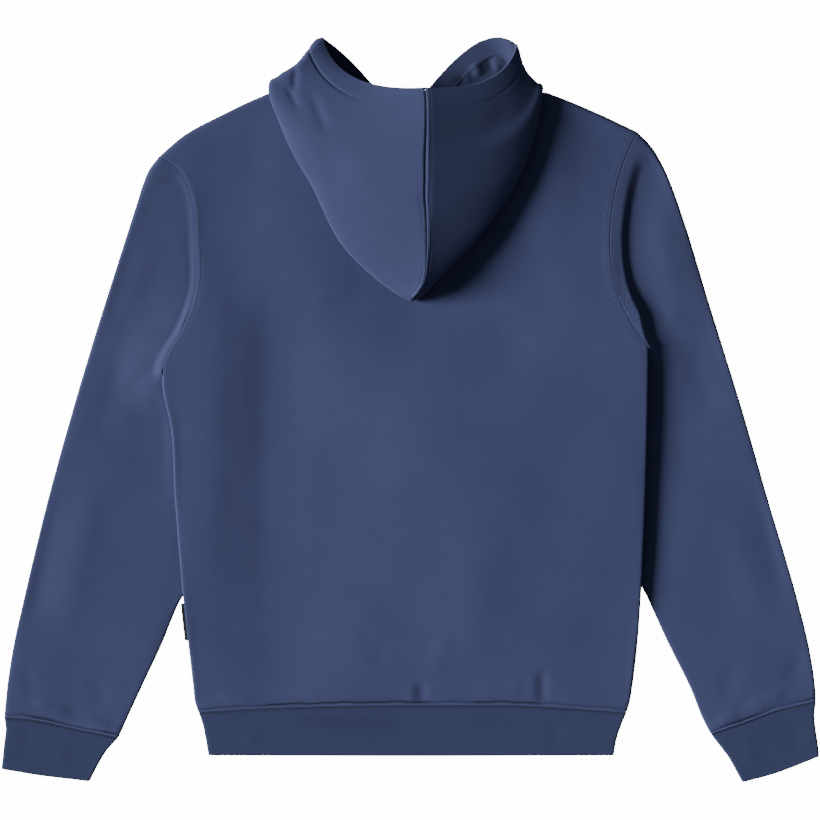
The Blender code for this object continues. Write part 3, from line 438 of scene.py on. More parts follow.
def sleeve_heights(armhole, cap):
    """Top and underside of a lying sleeve: level with the body at the armhole, then two flat layers."""
    seam = curve(armhole)
    shares = np.linspace(0, 1, 81)
    points = seam(shares)
    from_shoulder = shares * length(seam)
    from_underarm = from_shoulder[-1] - from_shoulder
    from_end = np.minimum(from_shoulder, from_underarm)
    edge_top, edge_low = body_heights(points)
    edge_top = edge_top - cap["lower"] * ease(from_end / CAP_LOWER_FADE)

    def heights(flat):
        far = np.hypot(flat[:, None, 0] - points[:, 0], flat[:, None, 1] - points[:, 1])
        near = far.argmin(axis=1)
        over = far.min(axis=1) - cap["level"] * ease(from_end[near] / CAP_FADE)
        shoulder = 1 - ease((from_shoulder[near] - CAP_SHOULDER[0]) / CAP_SHOULDER[1])
        underarm = 1 - ease(from_underarm[near] / CAP_FADE)
        width = cap["drop"] + (CAP_SOFT_DROP - cap["drop"]) * shoulder + CAP_UNDERARM[0] * underarm
        share = cap["share"] * (1 - CAP_UNDERARM[1] * underarm)
        left = 1 - share * ease(over / width) - (1 - share) * ease(over / CAP_SPREAD)
        dip = cap["dip"] * ease(over / width) * (1 - ease((over - CAP_DIP[0]) / CAP_DIP[1])) * (1 - shoulder)
        return np.array([FLAT + (edge_top[near] - FLAT) * left - dip, edge_low[near] * left])

    return heights


def sleeve_rows(inner, armhole, step):
    """Shares from the cuff up to the top row, close together beside the cuff and along the lower armhole."""
    under = places(length(curve(inner)), step, True, False)[:-1] * SLEEVE_UNDERARM
    arm_span = (1 - TOP_OF_SLEEVE) * length(curve(armhole))
    arm = SLEEVE_UNDERARM + (1 - SLEEVE_UNDERARM) * places(ARMHOLE_FINER * arm_span, step, False, True)
    return np.concatenate([under, arm])


def sleeve_shape(armhole, outer, inner, cuff_seam, facing, steps):
    """A sleeve's plan: up one side the outer fold, up the other the inner fold and then the lower armhole."""
    seam = curve(armhole)
    lower = lambda share: seam(1 - (1 - TOP_OF_SLEEVE) * np.asarray(share, float))
    upper = lambda share: seam(TOP_OF_SLEEVE * np.asarray(share, float))
    inner_side = chain(backwards(curve(inner)), lower, SLEEVE_UNDERARM)
    turn = np.linspace(0, math.pi / 2, ROLL_STEPS + 1)
    shoulder = SHOULDER_ROLL / arm_length * (1 - np.cos(turn)) / TOP_OF_SLEEVE
    top_row = np.concatenate([shoulder, np.linspace(shoulder[-1], 1, steps + ROLL_STEPS + 1)[1:]])

    def clear(u, v):
        if v == 1:
            return beside(seam, TOP_OF_SLEEVE * u, -facing * SEAM_LAP)
        along = 1 - (1 - TOP_OF_SLEEVE) * max(0, (v - SLEEVE_UNDERARM) / (1 - SLEEVE_UNDERARM))
        at_side = ease(20 * u - 19) * ease((v - SLEEVE_UNDERARM) / 0.03 + 1)
        return at_side[:, None] * beside(seam, along, -facing * SEAM_LAP)

    rise = (1 - TOP_OF_SLEEVE) * length(seam) / (1 - SLEEVE_UNDERARM)
    return {"edges": (curve(cuff_seam), upper, backwards(curve(outer)), inner_side),
            "opens": (NEVER, SLEEVE_UNDERARM), "rise": rise, "top_row": top_row, "clear": clear}


# Bands

def band_shape(low, high, left, right, facing):
    """A ribbed band's plan, just clear of the seam above it."""
    seam = curve(high)

    def clear(u, v):
        return beside(seam, u, -facing * SEAM_LAP) * ease((v - 1) * 10 + 1)

    return {"edges": (curve(low), seam, backwards(curve(left)), backwards(curve(right))),
            "opens": (NEVER, NEVER), "rise": 1.0, "clear": clear}


def flat_heights(flat):
    """Top and underside of a band, whose two layers lie flat."""
    return np.array([np.full(len(flat), FLAT), np.zeros(len(flat))])


# Hood

def bend(start, middle, end, shares):
    """Points at even shares of length along a plan curve from start to end that leans towards middle."""
    s = np.linspace(0, 1, 41)[:, None]
    line = (1 - s) ** 2 * start + 2 * s * (1 - s) * middle + s**2 * end
    walked = np.concatenate([[0], np.cumsum(np.hypot(*np.diff(line, axis=0).T))])
    at = np.asarray(shares) * walked[-1]
    return np.column_stack([np.interp(at, walked, line[:, 0]), np.interp(at, walked, line[:, 1])]), walked[-1]


def hood_strip(row, side):
    """One strip of a hood half, from the neck seam, round the outer fold and up to the centre seam."""
    neck = np.array([row["neck_x"], row["neck_y"]])
    fold = np.array([row["fold_x"], row["fold_y"]])
    seam = np.array([row["seam_x"], row["seam_y"]])
    apart = SEAM_GAP / 2 * (1 if side == "right" else -1)
    seam[0] += apart
    neck[0] += apart * ease((row["place"] - NAPE_FROM) / (1 - NAPE_FROM))
    fold[0] += apart * ease((row["place"] - NAPE_FROM) / (1 - NAPE_FROM))
    turn = np.linspace(0, math.pi / 2, ROLL_STEPS + 1)

    bow = np.array(FACE_BOW[side]) * (1 - ease(row["place"] / BOW_FADE))
    middle = (neck + fold) / 2 + bow
    span = bend(neck, middle, fold, [0])[1]
    roll = min(row["under"], MOST_ROLL * span) / max(span, 1e-6)
    level = np.linspace(0, 1 - roll, HOOD_UNDER_STEPS + 1)
    shares = np.concatenate([level, 1 - roll * (1 - np.cos(turn[-2::-1]))])
    sink = np.concatenate([np.ones(len(level)), np.sin(turn[-2::-1])])
    beyond_neck = ease(2 * shares) * (1 - ease(row["place"] / SHOULDER_PLACE))
    plan = bend(neck, middle, fold, shares)[0]
    lying = row["neck_z"] + (LOBE_LOW - row["neck_z"]) * beyond_neck
    if row["place"] > SHOULDER_PLACE:
        lying = np.maximum(lying, back_height(plan[:, 0], plan[:, 1]) + HOOD_CLEAR)
    sunk = row["fold_z"] - (row["fold_z"] - lying) * sink
    under = np.column_stack([plan, sunk])

    lean = np.array([fold[0], seam[1]]) + np.array(OVER_LEAN) * (seam - fold)
    span = bend(fold, lean, seam, [0])[1]
    roll = min(row["over"], MOST_ROLL * span) / max(span, 1e-6)
    shares = np.concatenate([roll * (1 - np.cos(turn)), np.linspace(roll, 1, HOOD_OVER_STEPS + 1)[1:]])
    lift = np.concatenate([np.sin(turn), np.ones(HOOD_OVER_STEPS)])
    slope = row["crest"] + (row["seam_z"] - row["crest"]) * shares
    risen = row["fold_z"] + (slope - row["fold_z"]) * lift
    over = np.column_stack([bend(fold, lean, seam, shares)[0], risen])
    return np.concatenate([under, over[1:]])


def hood_sheet(rows, side, step):
    """The outer face of a hood half, in strips from the face edge to the nape. They lie as FACE_PLACES says near
    the face edge, where a strip is long enough, and then in even steps."""
    rows = np.array(rows, float)
    strips = [hood_strip(dict(zip(HOOD_COLUMNS, smooth(rows[:, 0], rows, place))), side)
              for place in np.linspace(0, 1, HOOD_PLACES)]
    coarse = np.array(strips)
    walked = walk(coarse, 0)
    count = round(walked[-1].max() / step)
    near = np.array(FACE_PLACES)
    fine = []
    for column in range(coarse.shape[1]):
        total = walked[-1, column]
        start = near * min(1.0, FACE_SHARE * total / near[-1])
        at = np.concatenate([start, np.linspace(start[-1], total, count)[1:]])
        fine.append([np.interp(at, walked[:, column], coarse[:, column, i]) for i in range(3)])
    return np.transpose(np.array(fine), (2, 0, 1))


# Walls

NARROW, NARROW_FADE = 0.15, 0.3  # sine of an angle between rows and columns that is too narrow to trust, and fade


def inner_face(outer, thickness, facing, seams=(), folds=None, lying=False):
    """Moves the outer face in by the wall. seams lists (rows, columns, way across that seam), along which the
    wall's edge stays square to the seam; at the points marked in folds the wall goes in level. On a lying
    piece the wall goes straight down where rows and columns run nearly the same way, as in an armhole's corner."""
    across_it, up_it = np.gradient(outer, axis=1), np.gradient(outer, axis=0)
    normal = np.cross(across_it, up_it) * facing
    size = np.linalg.norm(normal, axis=-1)
    open_angle = size / np.maximum(np.linalg.norm(across_it, axis=-1) * np.linalg.norm(up_it, axis=-1), 1e-9)
    normal[size < 1e-6] = (0, 0, 1)
    normal /= np.linalg.norm(normal, axis=-1)[..., None]
    if lying:
        straight = np.array([0, 0, np.sign(normal[..., 2].mean())])
        sure = ease((open_angle - NARROW) / NARROW_FADE)[..., None]
        normal = sure * normal + (1 - sure) * straight
        normal /= np.linalg.norm(normal, axis=-1)[..., None]
    if folds is not None:
        normal[folds] *= (1, 1, 0)
        normal[folds] /= np.linalg.norm(normal[folds], axis=-1)[..., None]
    for rows, columns, way in seams:
        edge = normal[rows, columns]
        edge = edge - (edge * way).sum(axis=-1)[..., None] * way
        normal[rows, columns] = edge / np.maximum(np.linalg.norm(edge, axis=-1), 1e-6)[..., None]
    return outer - thickness * normal


# Fine cloth

EDGE_PLACES = (0.0, 0.3, 0.7, 1.2, 1.7, 2.2, 2.7, 3.2, 3.7, 4.3, 5.3, 7.0)  # mm from a sewn edge
EDGE_ROUND = 1.3  # radius over which a sewn or turned edge rolls in
SOFT_ROUND = 6.0  # the same on the body's left armhole, where the cloth is pulled over the seam
SOFT_FROM, SOFT_TO = (UNDERARM + 0.01, 0.04), (0.995, 0.03)  # shares of the body's side where it starts and ends
EDGE_LEFT = 0.3  # share of the wall that is left at the very edge
MERGE = 0.005  # points of a cloth nearer than this become one
PAINTED_SHADING_RANGE = (-0.5, 0.95)  # the strongest painted highlight and the darkest painted shade
CASING = 21.0  # width of the hem that is turned in along the hood's face edge
CASING_THICK = 1.1  # what the turned-in hem adds to the wall
CASING_STEP = 1.2  # width of that hem's inner edge, and half width of the line that is pressed in along it
CASING_DEPTH = {"left": (0.15, 0.65), "right": (0.15, 0.25)}  # depth of that line by the ridge, and more beyond
BY_RIDGE = (60.0, 40.0)  # by the ridge means this near it; the rest comes in over this width
FACE_PLACES = (0, 0.4, 0.9, 1.5, 2.4, 4, 7, 10, 13, 16, 18, 19.4, 20.2, 21, 21.8, 22.6, 24, 27)  # mm
FACE_SHARE = 0.2  # the most of a half's length that they take

# The topstitched seams above the bands: each line's place and half width, in mm from the seam
TURNED, TURNED_HEIGHT = (1.3, 0.8), 0.5  # the turned edge stands up as a cord
SUNK = (3.3, 0.8)  # the stitching sinks in beside it
BEYOND, BEYOND_HEIGHT = (9.0, 4.0), 0.6  # and the cloth swells softly beyond
CREASE, CREASE_PAINTED_SHADE = (3.9, 1.1), 0.85  # painted shade along the crease above the seam
HIGHLIGHT_LINE, PAINTED_HIGHLIGHT = (1.2, 1.0), 0.3  # a painted highlight along the turned edge
# Below the seams: the groove where the band is drawn in, its line of painted shade, and painted shade along the
# free edge
GROOVE, GROOVE_DEPTH = (1.4, 0.9), 0.9
GROOVE_LINE, GROOVE_PAINTED_SHADE = (1.7, 1.2), 0.55
FREE_EDGE, FREE_EDGE_PAINTED_SHADE = (0.0, 1.6), 0.2
RIDGE_LINE, RIDGE_DEPTH = (3.0, 0.8), 0.55  # the stitched line beside the hood's centre ridge
RIDGE_LEFT, RIDGE_SHARP = 0.5, 2.0  # there the edge rolls in less: as if this far in, and rising so much faster

# Distances of the stitches from their seams
ABOVE_BAND, BELOW_BAND, BESIDE_ARMHOLE = 3.2, 2.6, 5.0

# How the lines of stitching waver along the bands' seams: height, length and start of each wave
HEM_WAVER = [(0.35, 9.0, 0.0), (0.25, 4.3, 1.0)]
CUFF_WAVER = [(0.3, 7.0, 0.0), (0.3, 3.9, 1.0)]
STRAY_FADE = 3.0  # the turned edge itself runs evenly; the lines waver from this distance on

# The cloth is calm near its edges: widths over which its folds and its unevenness fade out, and the height of
# that unevenness in the open cloth
BODY_CALM, BODY_SWELL = (14.0, 5.0, 25.0), 0.8  # from the sides, the hem seam and the top
SLEEVE_CALM, SLEEVE_SWELL = (14.0, 4.0, 25.0), 0.9  # from the folds, the cuff seam and the armhole
BAND_CALM, BAND_SWELL = (8.0, 4.0, 5.0), 0.4  # from the folds, the seam and the free edge
HOOD_CALM, HOOD_SWELL = (12.0, 10.0, 8.0), 0.6  # from the outer fold, the ridge and the face edge
# Widths over which the lines beside the seams start at a piece's sides: on back, sleeves and bands; and their
# painted shade
BACK_START, SLEEVE_START, BAND_START, PAINTED_SHADE_START = 12.0, 8.0, 6.0, 4.0
CASING_START = 30.0  # the same for the casing's line, from the neck
CUFF_SUNK = (0.7, 0.4, 13.0)  # depth of the stitching above the cuffs, how much it varies, and over what length
CUFF_DARK = 0.35  # where it is shallower than this, its crease gets no painted shade
CALM_BACK = (75.0, 130.0, 40.0)  # the back is calm under the hood: above this y, out to this x, and the fade
UPPER_SLEEVE_PAINTED_SHADE = (0.14, 60.0, 80.0)  # painted shade on the upper sleeves: how much darker, from which y, and over what length
ALONG_BODY = (30.0, 10.0)  # below this y a sleeve has its folds only beside the body, and this is their fade
LOBE_FROM = (320.0, 15.0)  # the hood's lobes begin at this y, over this length
LOBE_CALM = (15.0, 10.0)  # their folds start over these widths, from the neck and from the face edge
LOBE_PAINTED_SHADE = (0.3, 0.5, 3.0, 15.0)  # painted shade inside them: in all, more where it stands up, from that z, over that

# Soft folds and ridges on the upper side: x0, y0, x1, y1, half width, height
BODY_FOLDS = [
    (12, -314, 11, -282, 6.0, -1.0),
    (1, -312, 1, -284, 6.0, 0.5),
    (139, -312, 138, -268, 5.5, -0.9),
    (128, -310, 128, -270, 6.0, 0.5),
    (-160, -295, 20, -293, 8.0, 1.0),
    (60, -294, 130, -294, 8.0, 1.0),
    (-205, -300, -160, -304, 5.0, 0.7),
    (150, -300, 210, -304, 6.0, 0.6),
    (-40, -280, -48, -180, 18.0, 0.5),
    (60, -270, 78, -120, 22.0, 0.6),
    (110, 20, 95, 120, 20.0, -0.5),
    (-60, -235, -20, -262, 12.0, -0.6),
    (40, -230, 22, -285, 10.0, 0.5),
]
BAND_FOLDS = [
    (-170, -332, -165, -356, 9.0, 0.3),
    (150, -322, 154, -358, 9.0, -0.3),
]
SLEEVE_LEFT_FOLDS = [
    (-400, -306, -352, -318, 6.0, 1.0),
    (-345, -322, -312, -334, 5.0, 0.8),
    (-408, -262, -392, -306, 8.0, -0.5),
    (-330, -276, -322, -316, 9.0, -0.6),
    (-330, -60, -365, -250, 16.0, 0.9),
    (-372, -90, -398, -240, 12.0, -0.8),
    (-300, 60, -330, -40, 14.0, -0.8),
    (-270, 190, -300, 90, 14.0, 0.6),
    (-258, 60, -300, 10, 9.0, -0.9),
]
SLEEVE_RIGHT_FOLDS = [
    (398, -296, 350, -312, 6.0, 1.0),
    (345, -316, 322, -330, 5.0, 0.8),
    (410, -250, 396, -294, 8.0, -0.5),
    (338, -262, 330, -306, 9.0, -0.6),
    (330, -90, 372, -240, 16.0, 0.8),
    (362, -60, 396, -220, 12.0, -0.7),
    (288, 90, 322, -20, 14.0, -0.6),
    (256, 210, 284, 120, 14.0, 0.5),
]
CUFF_FOLDS = [
    (-400, -328, -405, -372, 9.0, -0.3),
    (-360, -336, -370, -382, 9.0, 0.3),
    (400, -318, 408, -366, 9.0, -0.3),
    (350, -330, 360, -382, 9.0, 0.3),
]
# Shallow hollows of the hem band, drawn by painted shade alone
BAND_HOLLOWS = [
    (-135, -326, -40, -328, 9.0, 0.17),
    (-65, -327, 0, -328, 9.0, 0.15),
    (60, -326, 125, -327, 9.0, 0.08),
]
# Folds inside the hood's right lobe, which stand up, and the hollows between them, drawn by painted shade
LOBE_FOLDS = [
    (68, 364, 72, 348, 4.5, 3.0),
    (90, 372, 92, 352, 4.0, 3.0),
    (105, 372, 109, 354, 4.0, 2.0),
    (57, 352, 62, 342, 4.0, 1.5),
]
LOBE_HOLLOWS = [
    (77, 371, 84, 352, 4.5, 0.6),
    (96, 373, 101, 355, 3.5, 0.5),
    (42, 343, 57, 350, 4.0, 0.5),
]
# Parts of the hem seam where the cloth is pushed down on it: x from, x to, depth of the line above the seam
HEM_PINCHES = [(-226, -150, 0.5), (-150, 22, 1.1), (22, 68, 0.5), (68, 136, 1.1), (136, 230, 0.45)]
PINCH_FADE = 6.0
DEEPEST_PINCH = 1.1
HOOD_FOLDS = [
    (-119, 360, -122, 327, 3.0, -1.6),
    (-131, 340, -116, 313, 3.0, -1.3),
    (-106, 335, -85, 284, 5.0, -1.0),
    (-60, 300, -40, 200, 16.0, 0.4),
    (-95, 300, -70, 215, 12.0, -0.4),
    (100, 335, 84, 280, 10.0, -0.3),
]


def places(span, step, fine_start=True, fine_end=True):
    """Shares 0 to 1 of a span in mm, in even steps, and closer near the sewn edges."""
    first = np.array(EDGE_PLACES if fine_start else EDGE_PLACES[:1])
    last = span - np.array(EDGE_PLACES if fine_end else EDGE_PLACES[:1])[::-1]
    count = max(2, round((last[0] - first[-1]) / step))
    middle = np.linspace(first[-1], last[0], count + 1)[1:-1]
    return np.concatenate([first, middle, last]) / span


def relief(points, folds):
    """Height that soft folds and ridges add at plan points; each one dies out towards its two ends."""
    total = np.zeros(points.shape[:-1])
    for x0, y0, x1, y1, width, height in folds:
        start, way = np.array([x0, y0], float), np.array([x1 - x0, y1 - y0], float)
        step = points[..., :2] - start
        place = (step @ way) / (way @ way)
        beside_it = (step[..., 0] * way[1] - step[..., 1] * way[0]) / np.hypot(*way)
        total += height * bell(beside_it, 0, width) * ease(1.5 * (1 - np.abs(2 * place - 1)))
    return total


def swell(points, size):
    """The slight unevenness of cloth that someone has smoothed by hand. Its waves' lengths, in mm, have no common
    measure, so that it never repeats."""
    x, y = points[..., 0], points[..., 1]
    waves = np.sin(x / 31 + y / 83 + 1.1) + np.sin(y / 37 - x / 71 + 2.3) + np.sin(x / 17 - y / 53 + 0.4) * 0.6
    return size / 2.6 * (waves + np.sin(y / 21 + x / 29 + 3.0) * 0.5)


def calm(distances, widths):
    """0 at the edges of the cloth and 1 in the open, from the distances to each edge and the fades' widths."""
    return math.prod(ease(distance / width) for distance, width in zip(distances, widths))


def waver(x, waves):
    """How far a line of stitching strays from its even course at each x."""
    return sum(size * np.sin(x / span + start) for size, span, start in waves)


def turned_edge(distance, stray, depth):
    """Height beside a topstitched seam above a band, from the cord of its turned edge to the swell beyond."""
    near = distance + stray * ease(distance / STRAY_FADE)
    return (TURNED_HEIGHT * bell(near, *TURNED) - depth * bell(near, *SUNK)
            + BEYOND_HEIGHT * bell(distance, *BEYOND))


def seam_painted_shading(distance, depth):
    """Painted light and shade beside a seam: a pale painted highlight on the turned edge, painted shade in the
    crease.
    """
    return CREASE_PAINTED_SHADE * depth * bell(distance, *CREASE) - PAINTED_HIGHLIGHT * bell(distance, *HIGHLIGHT_LINE)


def walk(sheet, axis):
    """Length in mm from the first row (axis 0) or column (axis 1) to each point."""
    steps = np.linalg.norm(np.diff(sheet, axis=axis), axis=-1)
    start = np.zeros_like(np.take(steps, [0], axis=axis))
    return np.concatenate([start, np.cumsum(steps, axis=axis)], axis=axis)


def from_ends(sheet, axis):
    """Length from each point to the first and to the last row or column."""
    walked = walk(sheet, axis)
    return walked, np.take(walked, [-1], axis=axis) - walked


def roll_edges(outer, inner, distance):
    """Rounds the cloth's two faces towards each other near an edge."""
    keep = EDGE_LEFT + (1 - EDGE_LEFT) * rounded(distance / EDGE_ROUND)
    middle = (outer + inner) / 2
    return middle + (outer - middle) * keep[..., None], middle + (inner - middle) * keep[..., None]


def ways_out(sheet):
    """The directions square to a sheet, outwards where its columns run to the right and its rows up."""
    normal = np.cross(np.gradient(sheet, axis=1), np.gradient(sheet, axis=0))
    return normal / np.maximum(np.linalg.norm(normal, axis=-1), 1e-9)[..., None]


def line_beside(sheet, distance, axis=0, last=False):
    """The line on a sheet at a distance in mm from its first or last row or column, and the ways out of it."""
    normal = ways_out(sheet)
    if axis == 1:
        sheet, normal = np.swapaxes(sheet, 0, 1), np.swapaxes(normal, 0, 1)
    if last:
        sheet, normal = sheet[::-1], normal[::-1]
    walked = walk(sheet, 0)
    line, out = [], []
    for column in range(sheet.shape[1]):
        line.append([np.interp(distance, walked[:, column], sheet[:, column, i]) for i in range(3)])
        out.append([np.interp(distance, walked[:, column], normal[:, column, i]) for i in range(3)])
    return np.array(line), np.array(out)


# Finishes

def linear(hex_code):
    """A hex sRGB colour as linear light."""
    parts = [int(hex_code[i:i + 2], 16) / 255 for i in (1, 3, 5)]
    return [part / 12.92 if part <= 0.04045 else ((part + 0.055) / 1.055) ** 2.4 for part in parts] + [1.0]


# Sockets of a Mix node by number, because their names repeat: factor, two numbers, two colours; and its results
FACTOR, NUMBER_A, NUMBER_B, COLOUR_A, COLOUR_B = 0, 2, 3, 6, 7
NUMBER_OUT, COLOUR_OUT = 0, 2
PAINTED_SHADE_COLOUR = "#141726"  # painted shade: the colour that fleece and rib are drawn towards in deep creases and hollows
NAP_SHEEN = "#8C96B4"  # light that the fleece's nap catches at a slant


def node(tree, kind, settings=None, links=None):
    """Adds a node, sets its properties and sockets by name, and links its inputs."""
    made = tree.nodes.new(kind)
    for name, value in (settings or {}).items():
        if isinstance(name, int) or name in made.inputs:
            made.inputs[name].default_value = value
        else:
            setattr(made, name, value)
    for name, output in (links or {}).items():
        tree.links.new(output, made.inputs[name])
    return made


def wave_scale(period):
    """The scale of a band pattern whose lines lie that many metres apart."""
    return math.pi / 10 / period


def painted_shading_colour(tree, colour):
    """The colour darkened towards the painted shade colour where the painted shading is above 0, and paled as a
    painted highlight where it is below 0.
    """
    painted_shading = node(tree, "ShaderNodeAttribute", {"attribute_name": "painted_shading"})
    mix = node(tree, "ShaderNodeMix",
               {"data_type": "RGBA", "clamp_factor": False, COLOUR_B: linear(PAINTED_SHADE_COLOUR)},
               {FACTOR: painted_shading.outputs["Fac"], COLOUR_A: colour})
    return mix.outputs[COLOUR_OUT]


def blank_material(name):
    """A new material with nothing but its output, and its node tree."""
    material = bpy.data.materials.new(name)
    material.use_nodes = True
    material.node_tree.nodes.clear()
    output = material.node_tree.nodes.new("ShaderNodeOutputMaterial")
    return material, material.node_tree, output


def fleece_material(name, base_hex, pale_hex, dark_hex, wale):
    """Cotton jersey with a brushed back. Its face is knitted in fine wales along the cut; washing has raised a
    short, matt nap, so that it reads as even colour with a faint grain, a slight mottle and a soft rim."""
    material, tree, output = blank_material(name)
    place = {"Vector": node(tree, "ShaderNodeAttribute", {"attribute_name": "lie"}).outputs["Vector"]}
    # Wales are about 0.9 mm apart on the real cloth; they are drawn about twice as coarse so that they show.
    # The courses lie across them, a little closer, as stitches are wider than they are high.
    knit = {"wave_type": "BANDS", "Detail": 2.0, "Detail Scale": 1.5}
    wales = node(tree, "ShaderNodeTexWave",
                 {**knit, "bands_direction": "X", "Distortion": 1.2, "Scale": wave_scale(wale)}, place)
    courses = node(tree, "ShaderNodeTexWave",
                   {**knit, "bands_direction": "Y", "Distortion": 1.5, "Scale": wave_scale(wale * 0.8)}, place)
    # Tufts of the nap are about 1.6 mm across, drawn coarser than its hairs so that they show
    nap = node(tree, "ShaderNodeTexNoise", {"Scale": 620.0, "Detail": 3.0, "Roughness": 0.6}, place)
    # Clouds in the dye about 30 mm across
    mottle = node(tree, "ShaderNodeTexNoise", {"Scale": 30.0, "Detail": 3.0, "Roughness": 0.55}, place)
    grain = node(tree, "ShaderNodeMix", {"data_type": "FLOAT", "Factor": 0.5},
                 {NUMBER_A: wales.outputs["Fac"], NUMBER_B: courses.outputs["Fac"]})
    grain_and_nap = node(tree, "ShaderNodeMix", {"data_type": "FLOAT", "Factor": 0.6},
                         {NUMBER_A: grain.outputs[NUMBER_OUT], NUMBER_B: nap.outputs["Fac"]})
    shade = node(tree, "ShaderNodeMix", {"data_type": "FLOAT", "Factor": 0.3},
                 {NUMBER_A: grain_and_nap.outputs[NUMBER_OUT], NUMBER_B: mottle.outputs["Fac"]})
    ramp = node(tree, "ShaderNodeValToRGB", {}, {"Fac": shade.outputs[NUMBER_OUT]})
    ramp.color_ramp.elements[0].position = 0.34
    ramp.color_ramp.elements[0].color = linear(dark_hex)
    ramp.color_ramp.elements[1].position = 0.68
    ramp.color_ramp.elements[1].color = linear(pale_hex)
    middle = ramp.color_ramp.elements.new(0.5)
    middle.color = linear(base_hex)
    bump = node(tree, "ShaderNodeBump", {"Strength": 0.35, "Distance": 0.0004},
                {"Height": grain_and_nap.outputs[NUMBER_OUT]})
    # The base colour takes painted shade in creases and hollows and painted highlights, from the cloth's own
    # attribute
    shader = node(tree, "ShaderNodeBsdfPrincipled",
                  {"Roughness": 0.92, "Sheen Weight": 0.12, "Sheen Roughness": 0.5,
                   "Sheen Tint": linear(NAP_SHEEN), "IOR": 1.46, "Specular IOR Level": 0.25},
                  {"Base Color": painted_shading_colour(tree, ramp.outputs["Color"]), "Normal": bump.outputs["Normal"]})
    tree.links.new(shader.outputs["BSDF"], output.inputs["Surface"])
    return material


def rib_material(name, base_hex, valley_hex, rib):
    """Cotton and elastane rib. Its columns stand up between narrow valleys, drawn together along the band, so
    the eye reads a slightly darker, denser cloth with fine lines that run towards the free edge."""
    material, tree, output = blank_material(name)
    place = {"Vector": node(tree, "ShaderNodeAttribute", {"attribute_name": "lie"}).outputs["Vector"]}
    columns = node(tree, "ShaderNodeTexWave",
                   {"wave_type": "BANDS", "bands_direction": "X", "Distortion": 0.4, "Detail": 1.0,
                    "Scale": wave_scale(rib)}, place)
    # Tufts about 1.4 mm across, coarser than the real yarn's hairs so that they show, and clouds of 17 mm
    nap = node(tree, "ShaderNodeTexNoise", {"Scale": 700.0, "Detail": 3.0}, place)
    mottle = node(tree, "ShaderNodeTexNoise", {"Scale": 60.0, "Detail": 3.0}, place)
    grain = node(tree, "ShaderNodeMix", {"data_type": "FLOAT", "Factor": 0.45},
                 {NUMBER_A: columns.outputs["Fac"], NUMBER_B: nap.outputs["Fac"]})
    shade = node(tree, "ShaderNodeMix", {"data_type": "FLOAT", "Factor": 0.4},
                 {NUMBER_A: grain.outputs[NUMBER_OUT], NUMBER_B: mottle.outputs["Fac"]})
    ramp = node(tree, "ShaderNodeValToRGB", {}, {"Fac": shade.outputs[NUMBER_OUT]})
    # The valleys' darker colour is painted shade between the rib columns
    ramp.color_ramp.elements[0].position = 0.25
    ramp.color_ramp.elements[0].color = linear(valley_hex)
    ramp.color_ramp.elements[1].position = 0.6
    ramp.color_ramp.elements[1].color = linear(base_hex)
    bump = node(tree, "ShaderNodeBump", {"Strength": 0.14, "Distance": 0.0004},
                {"Height": grain.outputs[NUMBER_OUT]})
    # The base colour takes painted shade in creases and hollows and painted highlights, from the cloth's own
    # attribute
    shader = node(tree, "ShaderNodeBsdfPrincipled",
                  {"Roughness": 0.9, "Sheen Weight": 0.1, "Sheen Roughness": 0.5, "IOR": 1.46,
                   "Specular IOR Level": 0.25},
                  {"Base Color": painted_shading_colour(tree, ramp.outputs["Color"]), "Normal": bump.outputs["Normal"]})
    tree.links.new(shader.outputs["BSDF"], output.inputs["Surface"])
    return material


def thread_material(name, base_hex, pale_hex):
    """Spun polyester sewing thread. Its twist gives short slanting glints, a little paler than the cloth."""
    material, tree, output = blank_material(name)
    place = node(tree, "ShaderNodeTexCoord")
    twist = node(tree, "ShaderNodeTexWave",
                 {"wave_type": "BANDS", "bands_direction": "DIAGONAL", "Scale": wave_scale(0.0005)},
                 {"Vector": place.outputs["Object"]})
    ramp = node(tree, "ShaderNodeValToRGB", {}, {"Fac": twist.outputs["Fac"]})
    ramp.color_ramp.elements[0].color = linear(base_hex)
    ramp.color_ramp.elements[1].color = linear(pale_hex)
    shader = node(tree, "ShaderNodeBsdfPrincipled", {"Roughness": 0.55, "IOR": 1.5, "Sheen Weight": 0.1},
                  {"Base Color": ramp.outputs["Color"]})
    tree.links.new(shader.outputs["BSDF"], output.inputs["Surface"])
    return material


def tape_material(name, base_hex, pale_hex):
    """Woven polyester tape, dense and flat, with a fine crosswise rib and a dull satin gloss."""
    material, tree, output = blank_material(name)
    place = node(tree, "ShaderNodeTexCoord")
    picks = node(tree, "ShaderNodeTexWave",
                 {"wave_type": "BANDS", "bands_direction": "Y", "Scale": wave_scale(0.0008)},
                 {"Vector": place.outputs["Object"]})
    ramp = node(tree, "ShaderNodeValToRGB", {}, {"Fac": picks.outputs["Fac"]})
    ramp.color_ramp.elements[0].color = linear(base_hex)
    ramp.color_ramp.elements[1].color = linear(pale_hex)
    bump = node(tree, "ShaderNodeBump", {"Strength": 0.3, "Distance": 0.0002}, {"Height": picks.outputs["Fac"]})
    shader = node(tree, "ShaderNodeBsdfPrincipled", {"Roughness": 0.5, "IOR": 1.5},
                  {"Base Color": ramp.outputs["Color"], "Normal": bump.outputs["Normal"]})
    tree.links.new(shader.outputs["BSDF"], output.inputs["Surface"])
    return material


def material_of(name, make, *looks):
    """The named material, made the first time that it is asked for."""
    return bpy.data.materials.get(name) or make(name, *looks)


def fleece_finish():
    """The fleece of body, sleeves and hood."""
    look = bpy.context.scene.hoodie_fleece
    return material_of("brushed cotton fleece", fleece_material, look.colour, look.pale, look.dark, look.wale)


# Objects

LINES = {}  # seam lines that the sewing follows: (kind of seam, place) -> (points, ways out of the cloth)


